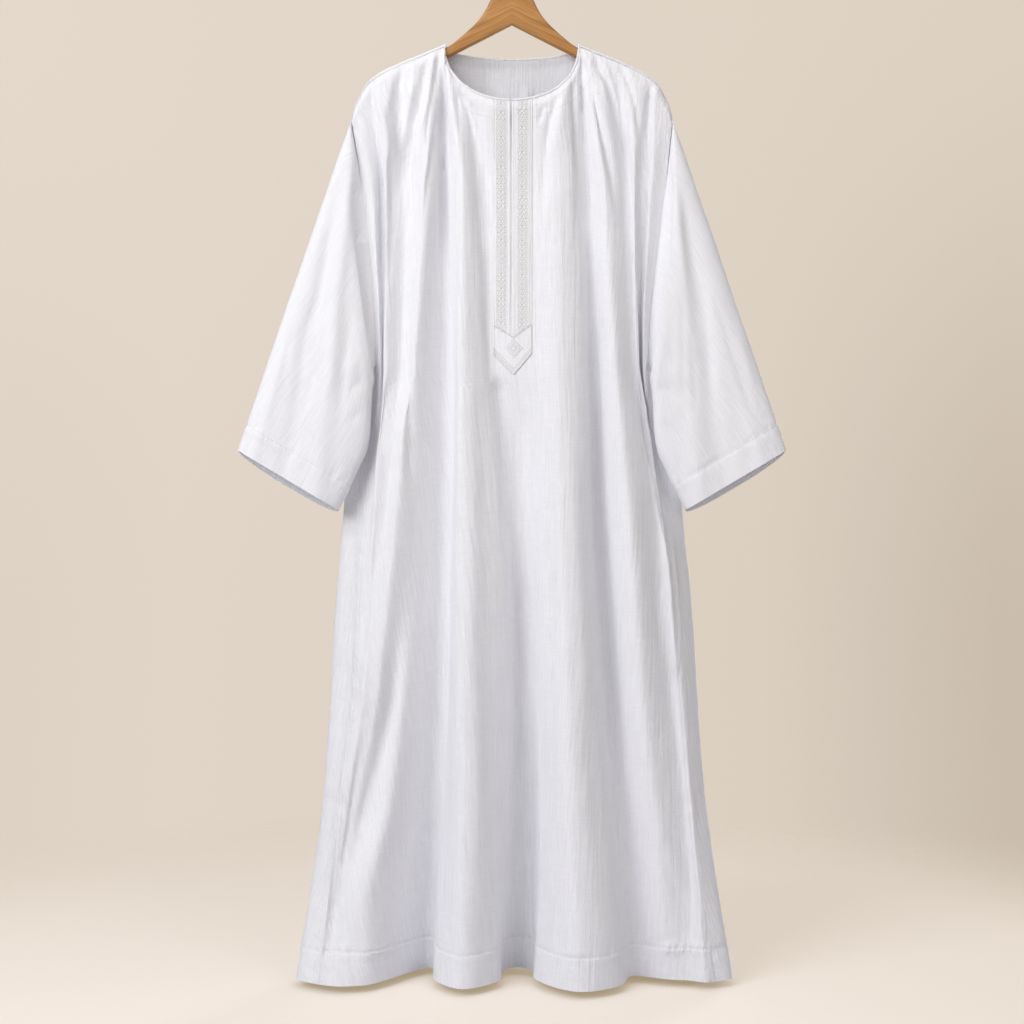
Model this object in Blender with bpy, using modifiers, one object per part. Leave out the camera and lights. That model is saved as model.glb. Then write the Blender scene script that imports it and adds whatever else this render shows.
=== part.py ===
"""A collarless thobe on a wooden hanger.

The origin is the highest point inside the hook, where a rail bears.
+X is to the right as the robe is seen, +Y goes from the front to the back, +Z is up.
Tables are in millimetres. "out" is the distance of a front point in front of the
hanger's middle plane, or of a back point behind it.
"""
import math

import bpy
from mathutils import Vector

MM = 0.001

# Cloth
WALL = 1.6                 # thickness of the cloth wall
SEAM_GAP = 0.3             # clearance between neighbouring pieces
UNDERARM_GAP = 2.0         # clearance where four pieces meet under the arm
UNDERARM_REACH = 90        # height over which the clearance narrows again
SEAM_STRIP = 3.0           # flat strip beside each seam
SEAM_REACH = 8             # how far a panel's curve aims past its seam
LAY_GAP = 0.8              # clearance under a piece that lies on a panel
FRONT_STEPS = 2            # mesh columns between two folds of the front
BACK_STEPS = 3

# Heights below the hook
HEIGHTS = {
    "chest": -410, "underarm": -670, "waist": -800, "hip": -1000,
    "thigh": -1180, "knee": -1350, "shin": -1500, "hem": -1632,
}
SLIT_END = -602
SLIT_SNAP = 25             # a row this close to the slit's end moves onto it
UNDERARM_ROUND = 16        # a row this far above the underarm rounds the armhole's end

# Neck opening, measured to the panels' own edge
NECK_HALF = 105.8
NECK_FRONT_LOW = -265.3
NECK_BACK_LOW = -184.5
NECK_FRONT_OUT = 28
NECK_BACK_OUT = 26
BINDING_SECTION = (
    # away from the panels' edge, out of the cloth
    (0.8, -1.8), (0.4, 0.4), (2.8, 0.8), (5.3, 0.2), (5.3, -1.6), (2.8, -2.0),
)
BINDING_LEAN = 0.3         # how far the binding leans from the arm where it crosses it

# The top of the cloth, from the neck over the hanger's tip to the armhole
SHOULDER_LINE = (
    # distance from the middle, height
    (100, -164), (141, -180), (184, -199), (215, -216),
    (227, -226), (238, -245), (246, -262), (251, -280),
)
# The cloth's turn over the hanger's arm
ARM_TURN = (
    # out, drop
    (0.0, 0.0), (3.5, 0.0), (7.0, 2.3), (9.0, 7.0),
)
SHOULDER_ROWS = (0.0, 0.07, 0.16, 0.28, 0.42, 0.60, 0.80)
BODY_ROWS = (
    # from, to, rows
    ("chest", "underarm", 5), ("underarm", "waist", 2), ("waist", "hip", 3), ("hip", "thigh", 2),
    ("thigh", "knee", 2), ("knee", "shin", 2), ("shin", "hem", 2),
)

# Armholes
ARMHOLE_FRONT_OUT = 1
ARMHOLE_BACK_OUT = 15
ARMHOLE_CLOSE = 70         # height over which the two edges close to the underarm point

FRONT_LEVELS = ("chest", "underarm", "waist", "hip", "thigh", "knee", "shin", "hem")
FRONT_FOLDS = (
    # name, x at the top, then (x, out) at each level
    ("left seam", -251, (-232, 1), (-214, -7), (-228, -20), (-245, -4),
     (-253, 2), (-273, 12), (-286, 22), (-301, 35)),
    ("left pinch", -239, (-219, 12), (-206, 5), (-221, -14), (-239, 0),
     (-247, 8), (-268, 16), (-282, 20), (-294, 38)),
    ("left crease", -227, (-204, -2), (-201, -6), (-213, -6), (-231, 4),
     (-240, 15), (-262, 19), (-278, 19), (-286, 41)),
    ("left edge", -215, (-198, 22), (-198, 20), (-210, 15), (-221, 14),
     (-232, 23), (-255, 19), (-273, 19), (-277, 44)),
    ("left hollow", -172, (-174, 8), (-182, 10), (-196, 11), (-213, 17),
     (-224, 27), (-248, 15), (-267, 21), (-268, 46)),
    ("left ridge", -128, (-144, 30), (-165, 28), (-181, 29), (-201, 29),
     (-212, 20), (-240, 10), (-260, 25), (-258, 46)),
    ("low hollow", -121, (-131, 22), (-148, 22), (-160, 22), (-178, 20),
     (-193, 8), (-229, 8), (-250, 32), (-244, 44)),
    ("low ridge", -116, (-121, 11), (-129, 10), (-139, 8), (-152, 4),
     (-171, 17), (-190, 26), (-223, 42), (-222, 37)),
    ("left valley", -111, (-110, 3), (-111, 0), (-118, -6), (-123, -15),
     (-128, -26), (-137, -38), (-138, -52), (-132, -61)),
    ("pipe 1 left", -105.8, (-101, 17), (-99, 15), (-99, 12), (-99, 9),
     (-102, 9), (-107, 10), (-112, 13), (-119, 16)),
    ("pipe 1 front", -101, (-86, 32), (-82, 34), (-82, 36), (-79, 39),
     (-79, 45), (-77, 51), (-76, 57), (-76, 61)),
    ("pipe 1 right", -90, (-67, 22), (-52, 22), (-48, 20), (-41, 16),
     (-36, 14), (-30, 12), (-24, 13), (-20, 14)),
    ("middle valley left", -72, (-50, 8), (-33, 6), (-25, 0), (-19, -7),
     (-19, -19), (-19, -29), (-17, -35), (-15, -39)),
    ("middle valley", -29, (-28, 20), (-20, 14), (-11, 2), (-3, -15),
     (-3, -29), (-2, -43), (3, -53), (9, -61)),
    ("slit", 1, (1, 22), (1, 20), (8, 9), (23, -1),
     (25, -14), (25, -31), (30, -37), (33, -41)),
    ("pipe 2 left", 33, (33, 21), (34, 25), (36, 24), (42, 22),
     (42, 14), (40, 7), (38, 5), (36, 4)),
    ("pipe 2 front", 80, (70, 32), (68, 36), (70, 39), (79, 45),
     (83, 53), (88, 61), (92, 69), (98, 75)),
    ("pipe 2 right", 98, (99, 20), (107, 21), (112, 21), (119, 22),
     (126, 28), (136, 34), (145, 40), (158, 44)),
    ("right valley", 105.8, (108, 2), (119, -4), (126, -8), (137, -13),
     (147, -14), (159, -14), (168, -14), (174, -14)),
    ("right ridge", 117, (133, 29), (149, 34), (157, 34), (173, 35),
     (187, 31), (208, 25), (224, 15), (230, 4)),
    ("right hollow", 152, (174, 5), (188, 6), (199, 7), (218, 4),
     (238, 2), (262, 2), (267, 9), (262, 15)),
    ("right edge", 192, (195, 22), (191, 15), (217, 10), (244, 12),
     (256, 9), (271, 6), (280, 13), (283, 23)),
    ("right crease", 220, (208, -2), (201, -8), (222, -6), (249, 4),
     (262, 6), (276, 8), (288, 15), (296, 25)),
    ("right pinch", 237, (219, 15), (206, 12), (226, -15), (253, 0),
     (267, 4), (280, 8), (294, 14), (308, 22)),
    ("right seam", 251, (238, 1), (214, -7), (230, -20), (259, -4),
     (272, 1), (284, 6), (300, 12), (318, 18)),
)
BACK_LEVELS = ("chest", "underarm", "waist", "hip", "knee", "hem")
BACK_FOLDS = (
    # name, x at the top, then (x, out) at each level
    ("left corner", -246, (-224, 12), (-210, 22), (-256, 42), (-278, 38), (-300, 24), (-338, -2)),
    ("left side", -232, (-206, 22), (-202, 36), (-232, 62), (-252, 68), (-272, 74), (-306, 76)),
    ("left side ridge", -212, (-186, 16), (-180, 34), (-202, 58), (-214, 66), (-238, 88), (-264, 120)),
    ("left hollow", -178, (-160, 9), (-150, 24), (-160, 42), (-170, 48), (-188, 64), (-212, 93)),
    ("ridge 1", -142, (-124, 26), (-116, 45), (-120, 62), (-124, 76), (-136, 106), (-150, 143)),
    ("hollow 1", -105.8, (-88, 12), (-80, 28), (-80, 44), (-80, 52), (-82, 74), (-86, 101)),
    ("ridge 2", -52, (-46, 24), (-42, 42), (-36, 60), (-32, 74), (-26, 102), (-20, 139)),
    ("hollow 2", 0, (0, 15), (4, 30), (14, 44), (20, 52), (32, 74), (44, 99)),
    ("ridge 3", 56, (50, 26), (58, 45), (70, 62), (80, 75), (94, 104), (110, 139)),
    ("hollow 3", 105.8, (98, 11), (108, 27), (120, 42), (130, 49), (148, 70), (168, 95)),
    ("ridge 4", 146, (138, 26), (150, 43), (166, 58), (178, 68), (204, 96), (228, 126)),
    ("right hollow", 188, (176, 13), (184, 28), (204, 46), (220, 50), (246, 66), (278, 88)),
    ("right side", 222, (206, 22), (208, 35), (234, 58), (256, 58), (278, 62), (316, 64)),
    ("right corner", 246, (230, 12), (209, 22), (258, 42), (282, 36), (306, 22), (345, -2)),
)

# Sleeves, for the left one; the right one mirrors them
SLEEVE_TOP = ((251, -280), (295.5, -411), (340, -541.5), (384.5, -672), (429, -803))
SLEEVE_UNDER = ((214, -670), (220, -722), (224, -788), (245, -843), (272, -896))
SLEEVE_RINGS = (0.09, 0.2, 0.32, 0.45, 0.58, 0.71, 0.84, 0.93, 1.0)
SLEEVE_EDGE_STEP = (10, 20)  # from the armhole seam to the fold beside it, above and below
SLEEVE_STEP_GROWTH = 1.3   # how soon down the armhole it widens
SLEEVE_STEP_END = 0.85     # share down the armhole where it starts to narrow to half
SLEEVE_EDGE_OUT = 17       # how far that fold stands out
SLEEVE_TURN_FROM = 0.85    # share down the armhole where the sleeve turns to its under seam
SLEEVE_MIDDLE = (
    # place of the sleeve's middle plane behind the hanger's, at the shoulder and at the cuff
    (0, 3), (-7, 5),       # top fold, under seam
)
SLEEVE_FRONT_DEPTH = 25
SLEEVE_BACK_DEPTH = 17
SLEEVE_FULLNESS = 2.4      # exponent of the flattened oval section
CUFF_BACK_DROP = 13        # the cuff's back edge hangs this much lower
CUFF_DROP_FROM = 0.6       # share along the sleeve where that begins
SLEEVE_FOLDS = {
    # (place across at the shoulder, at the cuff, width, height at the shoulder, at the cuff)
    "left": ((0.20, 0.80, 0.16, 5, 6), (0.10, 0.46, 0.13, -4, -8), (0.03, 0.16, 0.12, 0, 4)),
    "right": ((0.20, 0.88, 0.14, 5, 5), (0.12, 0.62, 0.14, -4, -8), (0.03, 0.25, 0.14, 0, 4)),
}

# Placket
PLACKET_LEFT = -27
PLACKET_RIGHT = 33
PLACKET_V_SIDE = -607
PLACKET_V_LOW = -627
PLACKET_CORNER = -653
PLACKET_TIP = -684
PLACKET_MIDDLE = 3.5
PLACKET_WALL = 1.2
BAND_COLUMNS = 7
POINT_ROWS = 4
SLIT_HALF = 0.6
BAND_EDGE = 1.0            # from the slit to each band
BAND_REACH = 80            # the bands and the point lie within this of the middle

# Hanger
ARM_THICKNESS = 12
ARM_ROUND = 4              # rounding of the wood's edges
HANGER_HALF = (
    # half outline of the wood, from the top down its upper side
    (9, -68), (19, -72), (26, -82), (34, -97), (43, -115), (54, -130), (68, -144), (83, -157), (93, -165.2),
    (103, -171.2), (141, -183.4), (184, -202), (206, -214.5), (214, -220), (218, -227),
    (217, -235), (210, -240.5), (184, -228), (99, -186),
)
HANGER_NOTCH = -135.5
HANGER_TOP = HANGER_HALF[0][1]
WIRE_RADIUS = 2.0
HOOK_RADIUS = 20.0         # inside radius of the hook
HOOK_FROM = 195            # angle of the hook's free end
HOOK_TO = -62              # angle where its bow runs into the stem
HOOK_STEPS = 18
STEM_STEPS = 4
STEM_RISE = 8              # straight stem above the wood
HOOK_HOLE_DEPTH = 12
HOOK_HOLE_GAP = 0.4
FERRULE_RADIUS = 6.5
FERRULE_HEIGHT = 4.0

COLOURS = {
    # material: red, green, blue, roughness, metallic
    "cloth": (0.84, 0.84, 0.88, 0.85, 0.0),
    "embroidery": (0.78, 0.76, 0.73, 0.8, 0.0),
    "wood": (0.49, 0.21, 0.06, 0.45, 0.0),
    "steel": (0.75, 0.75, 0.77, 0.25, 1.0),
}


# ---------------------------------------------------------------- helpers

def blend(a, b, t):
    return a + (b - a) * t


def smooth(t):
    t = min(1.0, max(0.0, t))
    return t * t * (3 - 2 * t)


def monotone(knots, values, at):
    """Read a smooth curve without overshoot through values at rising knots."""
    n = len(knots)
    if at <= knots[0]:
        return values[0]
    if at >= knots[-1]:
        return values[-1]
    steps = [knots[i + 1] - knots[i] for i in range(n - 1)]
    rates = [(values[i + 1] - values[i]) / steps[i] for i in range(n - 1)]
    slopes = [rates[0]] + [0.0] * (n - 2) + [rates[-1]]
    for i in range(1, n - 1):
        if rates[i - 1] * rates[i] > 0:
            w1 = 2 * steps[i] + steps[i - 1]
            w2 = steps[i] + 2 * steps[i - 1]
            slopes[i] = (w1 + w2) / (w1 / rates[i - 1] + w2 / rates[i])
    i = max(k for k in range(n - 1) if knots[k] <= at)
    t = (at - knots[i]) / steps[i]
    a = values[i] * (1 + 2 * t) * (1 - t) ** 2 + slopes[i] * steps[i] * t * (1 - t) ** 2
    return a + values[i + 1] * t * t * (3 - 2 * t) + slopes[i + 1] * steps[i] * t * t * (t - 1)


def through(points, before, after, steps):
    """Sample a centripetal Catmull-Rom curve through plan points."""
    line = [Vector(before)] + [Vector(p) for p in points] + [Vector(after)]
    samples = []
    for i in range(1, len(line) - 2):
        p0, p1, p2, p3 = line[i - 1:i + 3]
        t1 = max(1e-6, (p1 - p0).length ** 0.5)
        t2 = t1 + max(1e-6, (p2 - p1).length ** 0.5)
        t3 = t2 + max(1e-6, (p3 - p2).length ** 0.5)
        for k in range(steps):
            t = blend(t1, t2, k / steps)
            a1 = p0.lerp(p1, t / t1)
            a2 = p1.lerp(p2, (t - t1) / (t2 - t1))
            a3 = p2.lerp(p3, (t - t2) / (t3 - t2))
            b1 = a1.lerp(a2, t / t2)
            b2 = a2.lerp(a3, (t - t1) / (t3 - t1))
            samples.append(b1.lerp(b2, (t - t1) / (t2 - t1)))
    samples.append(line[-2].copy())
    return samples


def material(kind):
    known = bpy.data.materials.get(kind)
    if known:
        return known
    made = bpy.data.materials.new(kind)
    made.use_nodes = True
    shader = made.node_tree.nodes["Principled BSDF"]
    red, green, blue, roughness, metallic = COLOURS[kind]
    shader.inputs["Base Color"].default_value = (red, green, blue, 1)
    shader.inputs["Roughness"].default_value = roughness
    shader.inputs["Metallic"].default_value = metallic
    made.diffuse_color = (red, green, blue, 1)
    return made


def add_object(name, data, kind, group):
    made = bpy.data.objects.new(name, data)
    data.materials.append(material(kind))
    group.objects.link(made)
    return made


def sheet(name, grid, kind, group, wall, closed=False):
    """Skin a grid of points, some of them missing, and give it a wall on its inner side."""
    points = []
    index = {}
    known = {}
    for r, row in enumerate(grid):
        for c, point in enumerate(row):
            if point is None:
                continue
            key = tuple(round(v, 4) for v in point)
            if key not in known:
                known[key] = len(points)
                points.append(Vector(point) * MM)
            index[r, c] = known[key]
    faces = []
    columns = len(grid[0])
    for r in range(len(grid) - 1):
        for c in range(columns if closed else columns - 1):
            d = (c + 1) % columns
            corners = [index.get(key) for key in ((r, c), (r + 1, c), (r + 1, d), (r, d))]
            if None in corners:
                continue
            corners = [v for i, v in enumerate(corners) if v != corners[i - 1]]
            if len(corners) > 2:
                faces.append(corners)
    mesh = bpy.data.meshes.new(name)
    mesh.from_pydata(points, [], faces)
    mesh.shade_smooth()
    made = add_object(name, mesh, kind, group)
    solid = made.modifiers.new("wall", "SOLIDIFY")
    solid.thickness = wall * MM
    solid.offset = -1
    solid.use_quality_normals = True
    return made


# ---------------------------------------------------------------- robe body

def shoulder_height(x):
    return monotone([p[0] for p in SHOULDER_LINE], [p[1] for p in SHOULDER_LINE], abs(x))


def neck_edge(x, low, middle_out):
    """Height and out of a panel's own neck edge at x."""
    start = shoulder_height(NECK_HALF) - ARM_TURN[-1][1]
    depth = math.sqrt(max(0.0, 1 - (x / NECK_HALF) ** 2))
    return start + (low - start) * depth, blend(ARM_TURN[-1][0], middle_out, depth ** 2)


def top_edge(x, low, middle_out):
    """Height and out where the body's rows start, just below the turn over the arm."""
    if abs(x) < NECK_HALF - 0.01:
        return neck_edge(x, low, middle_out)
    return shoulder_height(x) - ARM_TURN[-1][1], ARM_TURN[-1][0]


def level_values(levels, fold, field, top, z):
    """Read x or out of a fold at height z, between its levels and its top."""
    knots = [-top] + [-HEIGHTS[name] for name in levels]
    values = [fold[1] if field == 0 else fold[2][field]] + [place[field] for place in fold[2:]]
    return monotone(knots, values, -z)


def body_heights():
    """Heights of the rows below the chest."""
    heights = []
    for start, end, rows in BODY_ROWS:
        for k in range(1, rows + 1):
            heights.append(blend(HEIGHTS[start], HEIGHTS[end], k / rows))
    for k, z in enumerate(heights):
        if abs(z - SLIT_END) < SLIT_SNAP:
            heights[k] = SLIT_END
    heights.append(HEIGHTS["underarm"] + UNDERARM_ROUND)
    return sorted(heights, reverse=True)


def fold_place(fold, levels, low, middle_out, row):
    """x and out of one fold on a body row, given as ("top", share) or ("level", height)."""
    kind, value = row
    top, edge_out = top_edge(fold[1], low, middle_out)
    z = value
    if kind == "top":
        z = blend(top, HEIGHTS["chest"], value)
    x = level_values(levels, fold, 0, top, z)
    out = level_values(levels, fold, 1, top, z)
    if kind == "top":
        out = blend(edge_out, fold[2][1], value * (2 - value))
    return x, out


def armhole_out(row, seam_out, edge_out):
    """Out of an armhole edge: it leaves the arm's turn and closes to the underarm point."""
    kind, value = row
    if kind == "top":
        return blend(ARM_TURN[-1][0], edge_out, smooth(value))
    rise = min(1.0, (value - HEIGHTS["underarm"]) / ARMHOLE_CLOSE)
    return blend(seam_out, edge_out, math.sqrt(max(0.0, 1 - (1 - rise) ** 2)))


def body_rows():
    return [("top", share) for share in SHOULDER_ROWS] + [("level", HEIGHTS["chest"])] + [
        ("level", z) for z in body_heights()]


def is_armhole(row):
    return row[0] == "top" or row[1] > HEIGHTS["underarm"] + 1


def seam_folds():
    return FRONT_FOLDS[0], FRONT_FOLDS[-1]


def back_folds():
    return [FRONT_FOLDS[0]] + list(BACK_FOLDS) + [FRONT_FOLDS[-1]]


def slit_column():
    return [fold[0] for fold in FRONT_FOLDS].index("slit") * FRONT_STEPS


def front_places(row):
    places = [fold_place(fold, FRONT_LEVELS, NECK_FRONT_LOW, NECK_FRONT_OUT, row) for fold in FRONT_FOLDS]
    if is_armhole(row):
        for k in (0, -1):
            places[k] = (places[k][0], armhole_out(row, FRONT_FOLDS[k][3][1], ARMHOLE_FRONT_OUT))
    return places


def back_places(row):
    """The back's folds from the left seam to the right seam, as (x, out behind)."""
    seams = [fold_place(fold, FRONT_LEVELS, NECK_FRONT_LOW, NECK_FRONT_OUT, row) for fold in seam_folds()]
    seams = [(x, -out) for x, out in seams]
    if is_armhole(row):
        for k, fold in enumerate(seam_folds()):
            seams[k] = (seams[k][0], armhole_out(row, -fold[3][1], ARMHOLE_BACK_OUT))
    inner = [fold_place(fold, BACK_LEVELS, NECK_BACK_LOW, NECK_BACK_OUT, row) for fold in BACK_FOLDS]
    return [seams[0]] + inner + [seams[1]]


def seam_gap(z):
    """Clearance at a seam, wider close to the underarm point."""
    near = 1 - min(1.0, abs(z - HEIGHTS["underarm"]) / UNDERARM_REACH)
    return blend(SEAM_GAP, UNDERARM_GAP, smooth(near))


def seam_steps(row, sign):
    """Plan directions from the left and right seams into a panel; sign is 1 for the front."""
    front = front_places(row)
    back = back_places(row)
    steps = []
    for near, inward in ((1, 1), (-2, -1)):
        loop = Vector((front[near][0] - back[near][0], front[near][1] + back[near][1])).normalized()
        round_step = Vector((loop.x * sign, loop.y))
        share = 1.0
        if is_armhole(row):
            share = 0.0
            if row[0] == "level":
                share = 1 - smooth((row[1] - HEIGHTS["underarm"]) / ARMHOLE_CLOSE)
        steps.append(Vector((inward, 0)).lerp(round_step, share).normalized())
    return steps


def panel_row(places, row, low, middle_out, tops, sign, steps_between):
    """Points of one body row of a panel, with a flat strip beside each seam."""
    steps = seam_steps(row, sign)
    left, right = Vector(places[0]), Vector(places[-1])
    line = through(places, left - steps[0] * SEAM_REACH, right - steps[1] * SEAM_REACH, steps_between)
    gap = seam_gap(row[1]) if row[0] == "level" else SEAM_GAP
    line[0] = left + steps[0] * gap / 2
    line[1] = left + steps[0] * SEAM_STRIP
    line[-1] = right + steps[1] * gap / 2
    line[-2] = right + steps[1] * SEAM_STRIP
    row_points = []
    for c, place in enumerate(line):
        z = row[1]
        if row[0] == "top":
            z = blend(top_edge(tops[c], low, middle_out)[0], HEIGHTS["chest"], row[1])
        row_points.append(Vector((place.x, -place.y * sign, z)))
    return row_points


def column_tops(folds, steps):
    """x of each mesh column where it starts."""
    tops = []
    for a, b in zip(folds[:-1], folds[1:]):
        tops += [blend(a[1], b[1], k / steps) for k in range(steps)]
    return tops + [folds[-1][1]]


def turn_rows(first_row, tops, sign):
    """The rows that turn over the hanger's arm, missing inside the neck opening."""
    rows = []
    for out, drop in ARM_TURN[:-1]:
        points = []
        for c, x in enumerate(tops):
            if abs(x) < NECK_HALF - 0.01:
                points.append(None)
                continue
            start = max(out, SEAM_GAP / 2)
            points.append(Vector((first_row[c].x, -start * sign, shoulder_height(x) - drop)))
        rows.append(points)
    return rows


def front_grid():
    tops = column_tops(FRONT_FOLDS, FRONT_STEPS)
    grid = []
    for row in body_rows():
        places = front_places(row)
        grid.append(panel_row(places, row, NECK_FRONT_LOW, NECK_FRONT_OUT, tops, 1, FRONT_STEPS))
    return turn_rows(grid[0], tops, 1) + grid


def back_grid():
    tops = column_tops(back_folds(), BACK_STEPS)
    grid = []
    for row in body_rows():
        places = back_places(row)
        grid.append(panel_row(places, row, NECK_BACK_LOW, NECK_BACK_OUT, tops, -1, BACK_STEPS))
    return turn_rows(grid[0], tops, -1) + grid


def open_slit(grid):
    """Split the column at the slit in two, apart down to the slit's end and one below it."""
    column = slit_column()
    opened = []
    for row in grid:
        middle = row[column]
        left = right = middle
        if middle is not None and middle.z > SLIT_END + 1:
            left = middle - Vector((SLIT_HALF, 0, 0))
            right = middle + Vector((SLIT_HALF, 0, 0))
        opened.append(row[:column] + [left, right] + row[column + 1:])
    return opened


def build_front(group):
    grid = open_slit(front_grid())
    return sheet("robe_front", grid, "cloth", group, WALL)


def build_back(group):
    grid = [list(reversed(row)) for row in back_grid()]
    return sheet("robe_back", grid, "cloth", group, WALL)


# ---------------------------------------------------------------- sleeves

def armhole_half(grid, side, rows):
    """Seam points and the direction into the body on one panel, from the shoulder to the underarm."""
    edge, strip = (0, 1) if side == "left" else (-1, -2)
    half = []
    for row in grid[:rows]:
        inward = (row[strip] - row[edge]).normalized()
        half.append((row[edge] - inward * seam_gap(row[edge].z) / 2, inward))
    return half


def sleeve_fold_height(side, across, along):
    total = 0.0
    for start, end, width, high, low in SLEEVE_FOLDS[side]:
        middle = blend(start, end, along)
        total += blend(high, low, along) * math.exp(-((across - middle) / (width * 0.6)) ** 2)
    return total * smooth(along / 0.15)


def sleeve_ring(side, along, shares, sign):
    """One half of a sleeve's section; sign is 1 on the front and -1 on the back."""
    mirror = -1 if side == "left" else 1
    stations = [k / (len(SLEEVE_TOP) - 1) for k in range(len(SLEEVE_TOP))]
    top = [monotone(stations, [p[k] for p in SLEEVE_TOP], along) for k in (0, 1)]
    under = [monotone(stations, [p[k] for p in SLEEVE_UNDER], along) for k in (0, 1)]
    depth = SLEEVE_FRONT_DEPTH if sign > 0 else SLEEVE_BACK_DEPTH
    ring = []
    for share, even in shares:
        across = blend(share, even, smooth(along * 1.6))
        bulge = (1 - abs(2 * across - 1) ** SLEEVE_FULLNESS) ** (1 / SLEEVE_FULLNESS)
        fold_middle = blend(*SLEEVE_MIDDLE[0], along)
        seam_middle = blend(*SLEEVE_MIDDLE[1], smooth(along * 5))
        middle = blend(fold_middle, seam_middle, across)
        out = middle + sign * bulge * depth
        if sign > 0:
            out += sleeve_fold_height(side, across, along) * bulge
        z = blend(top[1], under[1], across)
        if sign < 0:
            z -= CUFF_BACK_DROP * bulge * smooth((along - CUFF_DROP_FROM) / (1 - CUFF_DROP_FROM))
        ring.append(Vector((mirror * blend(top[0], under[0], across), -out, z)))
    return ring


def build_sleeve(side, group):
    mirror = -1 if side == "left" else 1
    rows = len(ARM_TURN) - 1 + sum(1 for row in body_rows() if is_armhole(row)) + 1
    front = armhole_half(front_grid(), side, rows)
    back = armhole_half(back_grid(), side, rows)
    seam_down = Vector((mirror * (SLEEVE_UNDER[1][0] - SLEEVE_UNDER[0][0]), 0,
                        SLEEVE_UNDER[1][1] - SLEEVE_UNDER[0][1])).normalized()
    halves = []
    for half, sign in ((front, 1), (back, -1)):
        lengths = [0.0]
        for a, b in zip(half[:-1], half[1:]):
            lengths.append(lengths[-1] + (b[0] - a[0]).length)
        shares = []
        rings = [[], [], []]
        for k, (point, inward) in enumerate(half):
            share = lengths[k] / lengths[-1]
            shares.append((share, 0.5 - 0.5 * math.cos(math.pi * k / (len(half) - 1))))
            away = -inward if share < 0.5 else Vector((mirror, 0, 0))
            turn = smooth((share - SLEEVE_TURN_FROM) / (1 - SLEEVE_TURN_FROM))
            away = away.lerp(seam_down, turn).normalized()
            bulge = math.sin(math.pi * share)
            gap = seam_gap(point.z) * 1.5 - SEAM_GAP
            point = point + Vector((mirror * WALL * turn, 0, 0))
            rings[0].append(point + away * gap)
            rings[1].append(point + away * (gap + SEAM_STRIP))
            step = blend(*SLEEVE_EDGE_STEP, smooth(share * SLEEVE_STEP_GROWTH))
            step *= 1 - 0.5 * smooth((share - SLEEVE_STEP_END) / (1 - SLEEVE_STEP_END))
            fold = point + away * step
            rings[2].append(fold + Vector((0, -sign * SLEEVE_EDGE_OUT * bulge, 0)))
        rings += [sleeve_ring(side, along, shares, sign) for along in SLEEVE_RINGS]
        halves.append(rings)
    grid = []
    for front_ring, back_ring in zip(*halves):
        ring = front_ring + list(reversed(back_ring))[1:-1]
        if side == "left":
            ring.reverse()
        grid.append(ring)
    return sheet("sleeve_" + side, grid, "cloth", group, WALL, closed=True)


# ---------------------------------------------------------------- neck binding and placket

def edge_normal(grid, row, column, sign):
    """Outward normal of a panel at one of its points; sign is -1 on the front."""
    across = grid[row][column + 1] - grid[row][column - 1]
    down = grid[row + 1][column] - grid[row][column]
    normal = across.cross(down).normalized()
    return normal if normal.y * sign > 0 else -normal


def neck_loop():
    """Points of the panels' neck edge with the outward normal, from the slit round to the slit."""
    front = front_grid()
    back = back_grid()
    turn = len(ARM_TURN) - 1
    front_tops = column_tops(FRONT_FOLDS, FRONT_STEPS)
    back_tops = column_tops(back_folds(), BACK_STEPS)
    inside = [c for c, x in enumerate(front_tops) if abs(x) <= NECK_HALF + 0.01]
    slit = slit_column()
    slit_edge = Vector((SLIT_HALF, 0, 0))
    loop = []
    for c in range(slit, inside[0] - 1, -1):
        point = front[turn][c] - (slit_edge if c == slit else Vector())
        loop.append((point, edge_normal(front, turn, c, -1)))
    loop += over_arm(front, back, inside[0], first_column(back_tops, -1), -1)
    for c, x in enumerate(back_tops):
        if abs(x) <= NECK_HALF + 0.01:
            loop.append((back[turn][c], edge_normal(back, turn, c, 1)))
    loop += list(reversed(over_arm(front, back, inside[-1], first_column(back_tops, 1), 1)))
    for c in range(inside[-1], slit - 1, -1):
        point = front[turn][c] + (slit_edge if c == slit else Vector())
        loop.append((point, edge_normal(front, turn, c, -1)))
    return loop


def first_column(tops, side):
    return min(range(len(tops)), key=lambda c: abs(tops[c] - side * NECK_HALF))


def over_arm(front, back, front_column, back_column, side):
    """Neck edge points over the arm, from the front to the back."""
    turn = len(ARM_TURN) - 1
    points = []
    for grid, column, sign, order in (
            (front, front_column, -1, range(turn - 1, 0, -1)), (back, back_column, 1, range(1, turn))):
        for r in order:
            lean = 1 - r / turn
            normal = Vector((BINDING_LEAN * side * lean, sign * (1 - lean), lean)).normalized()
            points.append((grid[r][column], normal))
    return points


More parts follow.
